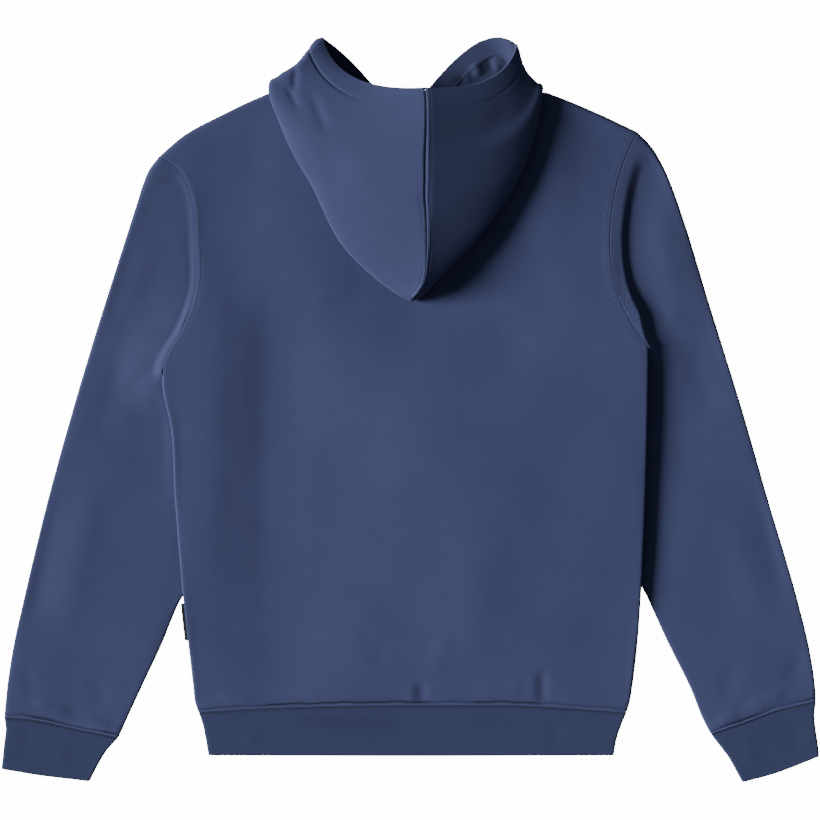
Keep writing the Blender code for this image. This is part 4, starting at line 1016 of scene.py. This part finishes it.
def place_object(name, mesh, material, smooth_shading=True):
    """Makes an object of a finished bmesh, at the origin."""
    data = bpy.data.meshes.new(name)
    mesh.to_mesh(data)
    mesh.free()
    if smooth_shading:
        data.shade_smooth()
    data.materials.append(material)
    made = bpy.data.objects.new(name, data)
    bpy.context.scene.collection.objects.link(made)
    return made


def cloth(name, outer, inner, painted_shading, material, slit=None):
    """One closed piece of cloth from the points of its outer and inner faces. slit is a column, and the row from
    which upwards it isn't joined to the next one. Each point's lie, its place on the flat cut, is kept for the
    patterns, and so is its painted shading: above 0 where shade is painted into creases and insides, below 0
    where a highlight is painted pale."""
    rows, columns = outer.shape[:2]
    lie = np.stack([walk(outer, 1), walk(outer, 0), np.zeros((rows, columns))], axis=-1)
    lie[..., 0] -= lie[:, [columns // 4], 0]
    mesh = bmesh.new()
    bmesh.ops.create_grid(mesh, x_segments=columns - 1, y_segments=rows - 1, size=1)
    vectors, numbers = mesh.verts.layers.float_vector, mesh.verts.layers.float
    vectors.new("inside")
    vectors.new("lie")
    numbers.new("painted_shading")
    inside, lie_layer, shading_layer = vectors["inside"], vectors["lie"], numbers["painted_shading"]
    mesh.verts.ensure_lookup_table()
    # Painted light and shade of each point: above 0 painted shade, below 0 a painted highlight
    painted = np.clip(painted_shading, *PAINTED_SHADING_RANGE).ravel()
    points = zip(mesh.verts, outer.reshape(-1, 3) * MM, inner.reshape(-1, 3) * MM, lie.reshape(-1, 3) * MM, painted)
    for vertex, out_point, in_point, lie_point, painted_here in points:
        vertex.co = out_point
        vertex[inside] = in_point
        vertex[lie_layer] = lie_point
        vertex[shading_layer] = painted_here
    if slit:
        column, first_row = slit
        mesh.faces.ensure_lookup_table()
        opened = [mesh.faces[row * (columns - 1) + column] for row in range(first_row, rows - 1)]
        bmesh.ops.delete(mesh, geom=opened, context="FACES")
    bmesh.ops.remove_doubles(mesh, verts=mesh.verts, dist=MERGE * MM)
    everything = mesh.verts[:] + mesh.edges[:] + mesh.faces[:]
    made = bmesh.ops.extrude_face_region(mesh, geom=everything, use_keep_orig=True)
    for vertex in made["geom"]:
        if isinstance(vertex, bmesh.types.BMVert):
            vertex.co = vertex[inside]
    loose = [vertex for vertex in mesh.verts if not vertex.link_faces]
    bmesh.ops.delete(mesh, geom=loose, context="VERTS")
    bmesh.ops.recalc_face_normals(mesh, faces=mesh.faces)
    mesh.verts.layers.float_vector.remove(mesh.verts.layers.float_vector["inside"])
    return place_object(name, mesh, material)


def tube(dress, shape, heights, rows, steps, thickness, facing, lying=False):
    """The outer face, the inner face and the painted shading of a flattened tube, across its upper layer and back
    across the lower one. dress gives a layer its relief, and returns its painted shading and how far it lies
    from the sewn edges."""
    layers = []
    for upper, way in ((True, slice(None)), (False, slice(None, None, -1))):
        sheet, seams, folds = layer(shape, heights, rows, steps, upper)
        painted_shading, distance = dress(sheet, upper)
        inside = inner_face(sheet, thickness, facing if upper else -facing, seams, folds, lying)
        outer, inner = roll_edges(sheet, inside, distance)
        layers.append([face[:, way] for face in (outer, inner, painted_shading)])
    return [np.concatenate(pair, axis=1) for pair in zip(*layers)]


def stands_for(piece, node_name):
    """Ties a piece to the CAD node that it stands for."""
    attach(piece, "root")
    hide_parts(node_name)


def keep_line(place, line):
    """Keeps a seam line of a lying piece for the sewing, with the stitches on top."""
    points, out = line
    LINES["flat", place] = (points, out * np.sign(out[:, 2:3] + 1e-9))


# Body panels

def dress_back(sheet):
    """Gives the back its folds, its unevenness and the turned edge above the hem, and returns its painted shade
    and painted highlight.
    """
    from_hem, from_top = from_ends(sheet, 0)
    from_side = np.minimum(*from_ends(sheet, 1))
    x, y = sheet[..., 0], sheet[..., 1]
    above, out_to, fade = CALM_BACK
    open_back = 1 - ease((y - above) / fade) * (1 - ease((np.abs(x) - out_to) / fade))
    still = calm((from_side, from_hem, from_top), BODY_CALM)
    sheet[..., 2] += still * open_back * (relief(sheet, BODY_FOLDS) + swell(sheet, BODY_SWELL))
    pinch = sum(depth * ease((x - start) / PINCH_FADE + 0.5) * ease((end - x) / PINCH_FADE + 0.5)
                for start, end, depth in HEM_PINCHES)
    stray = waver(x, HEM_WAVER)
    sheet[..., 2] += turned_edge(from_hem, stray, pinch) * ease(from_side / BACK_START)
    # Painted shade in the crease above the hem seam, deeper where it is pinched, and a painted highlight on the
    # turned edge
    return seam_painted_shading(from_hem + stray, pinch / DEEPEST_PINCH) * ease(from_side / PAINTED_SHADE_START)


def make_body():
    """Makes the back panel and the hidden, plainer front panel."""
    fleece = fleece_finish()
    step = bpy.context.scene.hoodie_fleece.grid
    for name, neck, upper in (("back_panel", BACK_NECK, True), ("front_panel", FRONT_NECK, False)):
        cell = step if upper else FRONT_COARSER * step
        rows, steps = body_rows(cell), round(BODY_SPAN / cell)
        sheet, seams, folds = layer(body_shape(neck), body_heights, rows, steps, upper, SEAM_GAP / 2)
        painted_shading = dress_back(sheet) if upper else np.zeros(sheet.shape[:2])
        inside = inner_face(sheet, FLEECE, 1 if upper else -1, seams, folds)
        from_left, from_right = from_ends(sheet, 1)
        if upper:
            by_armhole = ease((rows - SOFT_FROM[0]) / SOFT_FROM[1]) * ease((SOFT_TO[0] - rows) / SOFT_TO[1])
            from_left = from_left * (1 - (1 - EDGE_ROUND / SOFT_ROUND) * by_armhole[:, None])
        distance = np.minimum(np.minimum(*from_ends(sheet, 0)), np.minimum(from_left, from_right))
        outer, inner = roll_edges(sheet, inside, distance)
        piece = cloth(name + "_cloth", outer, inner, painted_shading, fleece)
        stands_for(piece, name)
        if upper:
            arm_rows = rows > SOFT_FROM[0]
            keep_line("hem", line_beside(sheet, ABOVE_BAND))
            keep_line("left armhole", line_beside(sheet[arm_rows], BESIDE_ARMHOLE, axis=1))
            keep_line("right armhole", line_beside(sheet[arm_rows], BESIDE_ARMHOLE, axis=1, last=True))


# Both sleeves

def dress_sleeve(sheet, upper, name, facing, rows, body_side, creases):
    """Gives a sleeve's upper layer its folds, its unevenness and the turned edge above the cuff. Returns the
    layer's painted shade and painted highlight, and how far it lies from its sewn edges."""
    from_fold = np.minimum(*from_ends(sheet, 1))
    from_cuff, from_seam = from_ends(sheet, 0)
    painted_shading = np.zeros(sheet.shape[:2])
    if upper:
        x, y = sheet[..., 0], sheet[..., 1]
        side = curve(body_side)(np.linspace(0, 1, 60))
        body_x = np.interp(y, side[:, 1], side[:, 0])
        outside = ease((body_x - x) * facing / ALONG_BODY[1])
        outside[y > ALONG_BODY[0]] = 1
        still = calm((from_fold, from_cuff, from_seam), SLEEVE_CALM) * outside
        sheet[..., 2] += still * (relief(sheet, creases) + swell(sheet, SLEEVE_SWELL))
        stray = waver(x, CUFF_WAVER)
        depth = CUFF_SUNK[0] + CUFF_SUNK[1] * np.sin(x / CUFF_SUNK[2])
        sheet[..., 2] += turned_edge(from_cuff, stray, depth) * ease(from_fold / SLEEVE_START) * outside
        # Painted shade in the crease above the cuff, and a painted highlight on its turned edge
        dark = np.clip(depth - CUFF_DARK, 0, 1)
        painted_shading = seam_painted_shading(from_cuff + stray, dark) * ease(from_fold / PAINTED_SHADE_START) * outside
        # Painted shade over the upper sleeves
        shade, shade_from, shade_fade = UPPER_SLEEVE_PAINTED_SHADE
        painted_shading += shade * ease((y - shade_from) / shade_fade)
        keep_line(name, line_beside(sheet, ABOVE_BAND))
    if facing == 1:  # the left cap lies smooth against its armhole, with no rolled edge
        return painted_shading, from_cuff
    # Below the underarm the armhole is far away; from there up the edge is rolled in over a short way
    opened = ease((rows - SLEEVE_UNDERARM) / OPENING_FADE)[:, None]
    from_armhole = from_ends(sheet, 1)[1] + FAR_AWAY * (1 - opened)
    return painted_shading, np.minimum(np.minimum(from_cuff, from_seam), from_armhole)


def make_sleeves():
    """Makes both sleeves as tubes that lie flat and open along their armholes."""
    fleece = fleece_finish()
    step = bpy.context.scene.hoodie_fleece.grid
    left = (LEFT_ARMHOLE, LEFT_OUTER, LEFT_INNER, LEFT_CUFF_SEAM, LEFT_SIDE, LEFT_CAP, SLEEVE_LEFT_FOLDS)
    right = (RIGHT_ARMHOLE, RIGHT_OUTER, RIGHT_INNER, RIGHT_CUFF_SEAM, RIGHT_SIDE, RIGHT_CAP, SLEEVE_RIGHT_FOLDS)
    for name, facing, side in (("sleeve_left", 1, left), ("sleeve_right", -1, right)):
        armhole, outer_fold, inner_fold, cuff_seam, body_side, cap, creases = side
        steps = round(SLEEVE_SPAN / step)
        rows = sleeve_rows(inner_fold, armhole, step)
        shape = sleeve_shape(armhole, outer_fold, inner_fold, cuff_seam, facing, steps)
        outer, inner, painted_shading = tube(
            lambda sheet, upper: dress_sleeve(sheet, upper, name, facing, rows, body_side, creases),
            shape, sleeve_heights(armhole, cap), rows, steps, FLEECE, facing, lying=True)
        fold = outer.shape[1] // 2 - 1
        first_open = int(np.flatnonzero(rows > SLEEVE_UNDERARM + 1e-6)[0])
        piece = cloth(name + "_cloth", outer, inner, painted_shading, fleece, (fold, first_open))
        stands_for(piece, name)


# Cuffs and hem band

def dress_band(sheet, upper, name, creases):
    """Gives a band's upper layer its shallow folds and the groove below its seam. Returns the layer's painted
    shade and how far it lies from its edges."""
    from_fold = np.minimum(*from_ends(sheet, 1))
    from_free, from_seam = from_ends(sheet, 0)
    painted_shading = np.zeros(sheet.shape[:2])
    if upper:
        still = calm((from_fold, from_seam, from_free), BAND_CALM)
        sheet[..., 2] += still * (relief(sheet, creases) + swell(sheet, BAND_SWELL))
        sheet[..., 2] -= GROOVE_DEPTH * bell(from_seam, *GROOVE) * ease(from_fold / BAND_START)
        # Painted shade along the groove's line and along the free edge
        painted_shading = GROOVE_PAINTED_SHADE * bell(from_seam, *GROOVE_LINE) * ease(from_fold / PAINTED_SHADE_START)
        painted_shading += FREE_EDGE_PAINTED_SHADE * bell(from_free, *FREE_EDGE)
        # Painted shade in the band's shallow hollows
        painted_shading += relief(sheet, BAND_HOLLOWS)
        keep_line(name, line_beside(sheet, BELOW_BAND, last=True))
    return painted_shading, np.minimum(from_free, from_seam)


def make_bands():
    """Makes the hem band and both cuffs as flat tubes of rib."""
    look = bpy.context.scene.hoodie_rib
    rib = material_of("cotton rib knit", rib_material, look.colour, look.valley, look.pitch)
    hem = (HEM_BOTTOM, HEM_SEAM, HEM_LEFT, HEM_RIGHT)
    left_cuff = (LEFT_CUFF_BOTTOM, LEFT_CUFF_SEAM, LEFT_CUFF_OUTER, LEFT_CUFF_INNER)
    right_cuff = (RIGHT_CUFF_BOTTOM, RIGHT_CUFF_SEAM, RIGHT_CUFF_OUTER, RIGHT_CUFF_INNER)
    for name, facing, edges, creases, cut, area in (
        ("hem_band", 1, hem, BAND_FOLDS, (0.90, 0.05), 0.045),
        ("cuff_left", 1, left_cuff, CUFF_FOLDS, (0.21, 0.055), 0.0115),
        ("cuff_right", -1, right_cuff, CUFF_FOLDS, (0.21, 0.055), 0.0115),
    ):
        rows = places(length(curve(edges[2])), look.grid)
        steps = round((length(curve(edges[1])) - BAND_ENDS) / look.grid)
        outer, inner, painted_shading = tube(
            lambda sheet, upper: dress_band(sheet, upper, name, creases),
            band_shape(*edges, facing), flat_heights, rows, steps, RIB, facing)
        piece = cloth(name + "_cloth", outer, inner, painted_shading, rib)
        stands_for(piece, name)


# Both halves of the hood

def dress_hood(sheet, side, facing, from_face, from_neck, from_ridge):
    """A hood half with its folds, its unevenness, the folds inside its lobe and the lines that are pressed in
    along the casing and beside the ridge. Also returns its painted shade."""
    fold = HOOD_UNDER_STEPS + ROLL_STEPS
    over = np.zeros(sheet.shape[:2])
    over[:, fold:] = 1
    from_fold = np.abs(from_neck - from_neck[:, [fold]])
    still = over * calm((from_fold, from_ridge, from_face), HOOD_CALM)
    raised = still * (relief(sheet, HOOD_FOLDS) + swell(sheet, HOOD_SWELL))
    in_lobe = (1 - over) * ease((sheet[..., 1] - LOBE_FROM[0]) / LOBE_FROM[1])
    # Painted shade inside the lobe, darker where its cloth stands up
    shade, more, height, rise = LOBE_PAINTED_SHADE
    painted_shading = in_lobe * (shade + more * ease((sheet[..., 2] - height) / rise))
    if side == "right":
        folds_in = calm((from_neck, from_face), LOBE_CALM)
        raised -= in_lobe * folds_in * relief(sheet, LOBE_FOLDS)
        # Painted shade in the hollows between the lobe's folds
        painted_shading += in_lobe * folds_in * relief(sheet, LOBE_HOLLOWS)
    at_ridge, beyond = CASING_DEPTH[side]
    depth = at_ridge + beyond * ease((from_ridge - BY_RIDGE[0]) / BY_RIDGE[1])
    raised -= depth * bell(from_face, CASING, CASING_STEP) * ease(from_neck / CASING_START)
    raised -= RIDGE_DEPTH * bell(from_ridge, *RIDGE_LINE) * over
    return sheet + raised[..., None] * ways_out(sheet) * facing, painted_shading


def make_hood():
    """Makes both halves of the hood, which meet at the centre ridge."""
    fleece = fleece_finish()
    step = bpy.context.scene.hoodie_fleece.grid * HOOD_FINER
    for side, facing, strips in (("left", -1, HOOD_LEFT), ("right", 1, HOOD_RIGHT)):
        name = "hood_" + side
        sheet = hood_sheet(strips, side, step)
        from_face = from_ends(sheet, 0)[0]
        from_neck, from_ridge = from_ends(sheet, 1)
        sheet, painted_shading = dress_hood(sheet, side, facing, from_face, from_neck, from_ridge)
        along = np.gradient(sheet[:, -1], axis=0)
        across_ridge = unit(np.stack([along[:, 1], -along[:, 0]], axis=-1))
        seams = [(slice(None), -1, across_ridge), (-1, slice(None), np.array([1.0, 0.0, 0.0]))]
        casing = (1 - ease((from_face - CASING) / CASING_STEP + 0.5)) * ease(from_neck / CASING_START)
        wall = FLEECE + CASING_THICK * casing
        inside = inner_face(sheet, wall[..., None], facing, seams)
        from_edge = np.minimum(from_face, RIDGE_LEFT + RIDGE_SHARP * from_ridge)
        outer, inner = roll_edges(sheet, inside, from_edge)
        piece = cloth(name + "_cloth", outer, inner, painted_shading, fleece)
        stands_for(piece, name)
        points, out = line_beside(sheet, RIDGE_LINE[0], axis=1, last=True)
        LINES["ridge", name] = (points[1:-1], out[1:-1] * facing)
        points, out = line_beside(sheet, CASING)
        LINES["casing", name] = (points[6:-2], out[6:-2] * facing)


# Side label

def make_label():
    """Makes the small blank strip that is caught in the left side seam."""
    black = material_of("woven label tape", tape_material, "#15161A", "#22242A")
    mesh = bmesh.new()
    bmesh.ops.create_cube(mesh, size=1)
    bmesh.ops.subdivide_edges(mesh, edges=mesh.edges[:], cuts=9, use_grid_fill=True)
    side = np.array(LEFT_SIDE)
    for vertex in mesh.verts:
        y = (LABEL_Y[0] + LABEL_Y[1]) / 2 + vertex.co.y * (LABEL_Y[1] - LABEL_Y[0])
        edge = np.interp(y, side[:, 1], side[:, 0])
        middle = (back_height(edge, y) + front_height(edge, y)) / 2
        outwards = 0.5 - vertex.co.x
        out = outwards * (LABEL_OUT + LABEL_IN) - LABEL_IN
        thick = LABEL_SEWN + (LABEL_THICK - LABEL_SEWN) * ease(out + 0.6)
        z = middle + vertex.co.z * thick + LABEL_WAVE * math.sin(9 * vertex.co.y) * outwards
        vertex.co = Vector((edge - out, y, z)) * MM
    bmesh.ops.recalc_face_normals(mesh, faces=mesh.faces)
    piece = place_object("side_label_tape", mesh, black)
    bevel = piece.modifiers.new("soft edges", "BEVEL")
    bevel.affect = "EDGES"
    bevel.width = LABEL_ROUND * MM
    bevel.segments = 2
    bevel.profile = 0.5
    bevel.material = -1
    bevel.limit_method = "ANGLE"
    stands_for(piece, "side_label")


# Sewing

def stitches(name, lines, look):
    """Sewing stitches as small beads of thread laid along lines of (points, ways out of the cloth)."""
    pitch, long, wide = look.pitch / MM, look.stitch / MM, look.width / MM
    bead = bmesh.new()
    bmesh.ops.create_uvsphere(bead, u_segments=6, v_segments=4, radius=0.5)
    template = bpy.data.meshes.new("bead")
    bead.to_mesh(template)
    bead.free()
    mesh = bmesh.new()
    for points, out in lines:
        walked = np.concatenate([[0], np.cumsum(np.linalg.norm(np.diff(points, axis=0), axis=1))])
        for start in np.arange(pitch / 2, walked[-1] - long, pitch):
            ends = np.array([[np.interp(at, walked, points[:, i]) for i in range(3)]
                             for at in (start, start + long)])
            up = Vector([np.interp(start, walked, out[:, i]) for i in range(3)]).normalized()
            along = Vector(ends[1] - ends[0]).normalized()
            side = along.cross(up).normalized()
            turn = Matrix((side, up, along)).transposed().to_4x4()
            middle = Vector(ends.mean(axis=0)) + up * wide * THREAD_RISE
            size = Matrix.Diagonal((wide * MM, wide * THREAD_FLAT * MM, long * MM, 1))
            before = len(mesh.verts)
            mesh.from_mesh(template)
            mesh.verts.ensure_lookup_table()
            bmesh.ops.transform(mesh, matrix=Matrix.Translation(middle * MM) @ turn @ size,
                                verts=mesh.verts[before:])
    bmesh.ops.recalc_face_normals(mesh, faces=mesh.faces)
    bpy.data.meshes.remove(template)
    made = place_object(name, mesh, material_of("spun sewing thread", thread_material, look.colour, look.pale))
    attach(made, "root")


def make_sewing():
    """Sews the rows of stitches along the lines that the cloth pieces have left."""
    if not LINES:
        raise RuntimeError("Make the body, sleeves, bands and hood first: the stitches follow their seams.")
    for name, group in (("ridge_stitches", "ridge"), ("casing_stitches", "casing"),
                        ("band_and_armhole_stitches", "flat")):
        lines = [line for (kind, _), line in LINES.items() if kind == group]
        stitches(name, lines, bpy.context.scene.hoodie_sewing)


# Stage

def floor_material(look):
    """Plain matt card, almost white. It gives off some light of its own, so that it reads as an even, pale ground
    with no shadow of the garment on it."""
    material, tree, output = blank_material("pale matt floor")
    place = node(tree, "ShaderNodeTexCoord")
    # Clouds about 25 mm across, too faint to be seen as a pattern
    grain = node(tree, "ShaderNodeTexNoise", {"Scale": 40.0, "Detail": 2.0}, {"Vector": place.outputs["Object"]})
    ramp = node(tree, "ShaderNodeValToRGB", {}, {"Fac": grain.outputs["Fac"]})
    ramp.color_ramp.elements[0].color = linear("#F2F2F2")
    ramp.color_ramp.elements[1].color = linear("#F6F6F6")
    shader = node(tree, "ShaderNodeBsdfPrincipled",
                  {"Roughness": 0.9, "Emission Color": linear("#FFFFFF"), "Emission Strength": look.glow},
                  {"Base Color": ramp.outputs["Color"]})
    tree.links.new(shader.outputs["BSDF"], output.inputs["Surface"])
    return material


def make_stage():
    """Lays the floor and sets the light and the camera."""
    look = bpy.context.scene.hoodie_stage
    mesh = bmesh.new()
    under = Matrix.Translation((0, 0, -FLOOR_DROP * MM))
    bmesh.ops.create_grid(mesh, x_segments=8, y_segments=8, size=FLOOR_HALF, matrix=under)
    floor = place_object("floor", mesh, floor_material(look), False)
    floor.visible_diffuse = False
    floor.visible_glossy = False

    world = bpy.data.worlds.new("soft room light")
    world.use_nodes = True
    world.node_tree.nodes["Background"].inputs["Color"].default_value = linear("#F4F6FF")
    world.node_tree.nodes["Background"].inputs["Strength"].default_value = look.room
    bpy.context.scene.world = world

    lamp = bpy.data.lights.new("key light", "SUN")
    lamp.angle = look.key_spread
    lamp.energy = look.key_strength
    key = bpy.data.objects.new("key light", lamp)
    height, way = look.key_height, look.key_way
    spot = Vector((math.cos(height) * math.cos(way), math.cos(height) * math.sin(way), math.sin(height)))
    key.location = spot * 3
    key.rotation_euler = spot.to_track_quat("Z", "Y").to_euler()
    bpy.context.scene.collection.objects.link(key)

    camera = bpy.data.cameras.new("camera")
    camera.sensor_width = 36
    camera.lens = 36 * look.camera_height / look.view_width
    camera.clip_end = 50
    eye = bpy.data.objects.new("camera", camera)
    eye.location = (EYE[0] * MM, EYE[1] * MM, look.camera_height)
    bpy.context.scene.collection.objects.link(eye)
    bpy.context.scene.camera = eye


# Settings

def colour_of(label, code):
    return bpy.props.StringProperty(name=label, description=label + ", as an sRGB hex code", default=code)


def size_of(label, description, default):
    return bpy.props.FloatProperty(name=label, description=description, default=default, unit="LENGTH",
                                   subtype="DISTANCE", precision=5)


def angle_of(label, description, degrees):
    return bpy.props.FloatProperty(name=label, description=description, default=math.radians(degrees),
                                   subtype="ANGLE")


def strength_of(label, description, default):
    return bpy.props.FloatProperty(name=label, description=description, default=default, min=0)


def mesh_step_of(cloth_name, default):
    return bpy.props.FloatProperty(name="Mesh step", default=default, min=1.5, max=12,
                                   description="Size of the " + cloth_name + "'s mesh cells, in millimetres")


class HoodieFleece(bpy.types.PropertyGroup):
    """The brushed fleece of body, sleeves and hood."""
    colour: colour_of("Fleece colour", "#3A4063")
    pale: colour_of("Pale flecks", "#3D4467")
    dark: colour_of("Dark flecks", "#373D5F")
    wale: size_of("Wale spacing", "Spacing of the drawn knit columns", 0.0018)
    grid: mesh_step_of("fleece", 3.2)


class HoodieRib(bpy.types.PropertyGroup):
    """The rib of cuffs and hem band."""
    colour: colour_of("Rib colour", "#2F3858")
    # painted shade in the rib's valleys
    valley: colour_of("Valleys between the ribs", "#2C3452")
    pitch: size_of("Rib spacing", "Spacing of the rib columns", 0.0028)
    grid: mesh_step_of("rib", 2.6)


class HoodieSewing(bpy.types.PropertyGroup):
    """The visible stitches."""
    colour: colour_of("Thread colour", "#2C3352")
    pale: colour_of("Thread glint", "#3A4266")
    pitch: size_of("Stitch pitch", "Distance from one stitch to the next", 0.0032)
    stitch: size_of("Stitch length", "Length of the thread that shows in one stitch", 0.0025)
    width: size_of("Thread width", "Width of the thread that shows", 0.00055)


class HoodieStage(bpy.types.PropertyGroup):
    """Floor, light and camera."""
    glow: strength_of("Floor glow", "Light that the pale floor gives off", 14.0)
    room: strength_of("Room light", "Strength of the even light all round", 0.16)
    key_strength: strength_of("Key light", "Strength of the soft light from the left", 8.15)
    key_height: angle_of("Key height", "Angle of that light above the floor", 22)
    key_way: angle_of("Key direction", "Angle of that light from +X, seen from above", 180)
    key_spread: angle_of("Key spread", "Angle that its soft box fills", 22)
    camera_height: size_of("Camera height", "Height of the camera over the floor", 4.8)
    view_width: size_of("View width", "Width of the floor that the camera sees", 0.861)


class HOODIE_OT_body(bpy.types.Operator):
    """Makes the back panel and the front panel"""
    bl_idname = "hoodie.body"
    bl_label = "Body panels"

    def execute(self, context):
        make_body()
        return {"FINISHED"}


class HOODIE_OT_sleeves(bpy.types.Operator):
    """Makes both sleeves"""
    bl_idname = "hoodie.sleeves"
    bl_label = "Sleeves"

    def execute(self, context):
        make_sleeves()
        return {"FINISHED"}


class HOODIE_OT_hood(bpy.types.Operator):
    """Makes both halves of the hood"""
    bl_idname = "hoodie.hood"
    bl_label = "Hood"

    def execute(self, context):
        make_hood()
        return {"FINISHED"}


class HOODIE_OT_bands(bpy.types.Operator):
    """Makes the cuffs and the hem band"""
    bl_idname = "hoodie.bands"
    bl_label = "Cuffs and hem band"

    def execute(self, context):
        make_bands()
        return {"FINISHED"}


class HOODIE_OT_label(bpy.types.Operator):
    """Makes the small side label"""
    bl_idname = "hoodie.label"
    bl_label = "Side label"

    def execute(self, context):
        make_label()
        return {"FINISHED"}


class HOODIE_OT_sewing(bpy.types.Operator):
    """Sews the visible stitches; body, sleeves, hood and bands come first"""
    bl_idname = "hoodie.sewing"
    bl_label = "Stitches"

    def execute(self, context):
        make_sewing()
        return {"FINISHED"}


class HOODIE_OT_stage(bpy.types.Operator):
    """Sets up floor, lights and camera"""
    bl_idname = "hoodie.stage"
    bl_label = "Stage"

    def execute(self, context):
        make_stage()
        return {"FINISHED"}


class HOODIE_PT_pieces(bpy.types.Panel):
    """Lists the hoodie's pieces in the sidebar"""
    bl_label = "Hoodie"
    bl_space_type = "VIEW_3D"
    bl_region_type = "UI"
    bl_category = "Hoodie"

    def draw(self, context):
        for operator in OPERATORS:
            self.layout.operator(operator.bl_idname)


GROUPS = {"hoodie_fleece": HoodieFleece, "hoodie_rib": HoodieRib, "hoodie_sewing": HoodieSewing,
          "hoodie_stage": HoodieStage}
OPERATORS = [HOODIE_OT_body, HOODIE_OT_sleeves, HOODIE_OT_bands, HOODIE_OT_hood, HOODIE_OT_label,
             HOODIE_OT_sewing, HOODIE_OT_stage]


def register():
    """Adds the settings, the operators and the panel to Blender."""
    for name, group in GROUPS.items():
        bpy.utils.register_class(group)
        setattr(bpy.types.Scene, name, bpy.props.PointerProperty(type=group))
    for kind in OPERATORS + [HOODIE_PT_pieces]:
        bpy.utils.register_class(kind)


def unregister():
    """Takes them out again."""
    for kind in [HOODIE_PT_pieces] + OPERATORS[::-1]:
        bpy.utils.unregister_class(kind)
    for name, group in GROUPS.items():
        delattr(bpy.types.Scene, name)
        bpy.utils.unregister_class(group)


def main():
    """Makes everything in order."""
    register()
    bpy.ops.hoodie.body()
    bpy.ops.hoodie.sleeves()
    bpy.ops.hoodie.bands()
    bpy.ops.hoodie.hood()
    bpy.ops.hoodie.label()
    bpy.ops.hoodie.sewing()
    bpy.ops.hoodie.stage()


if __name__ == "__main__":
    main()
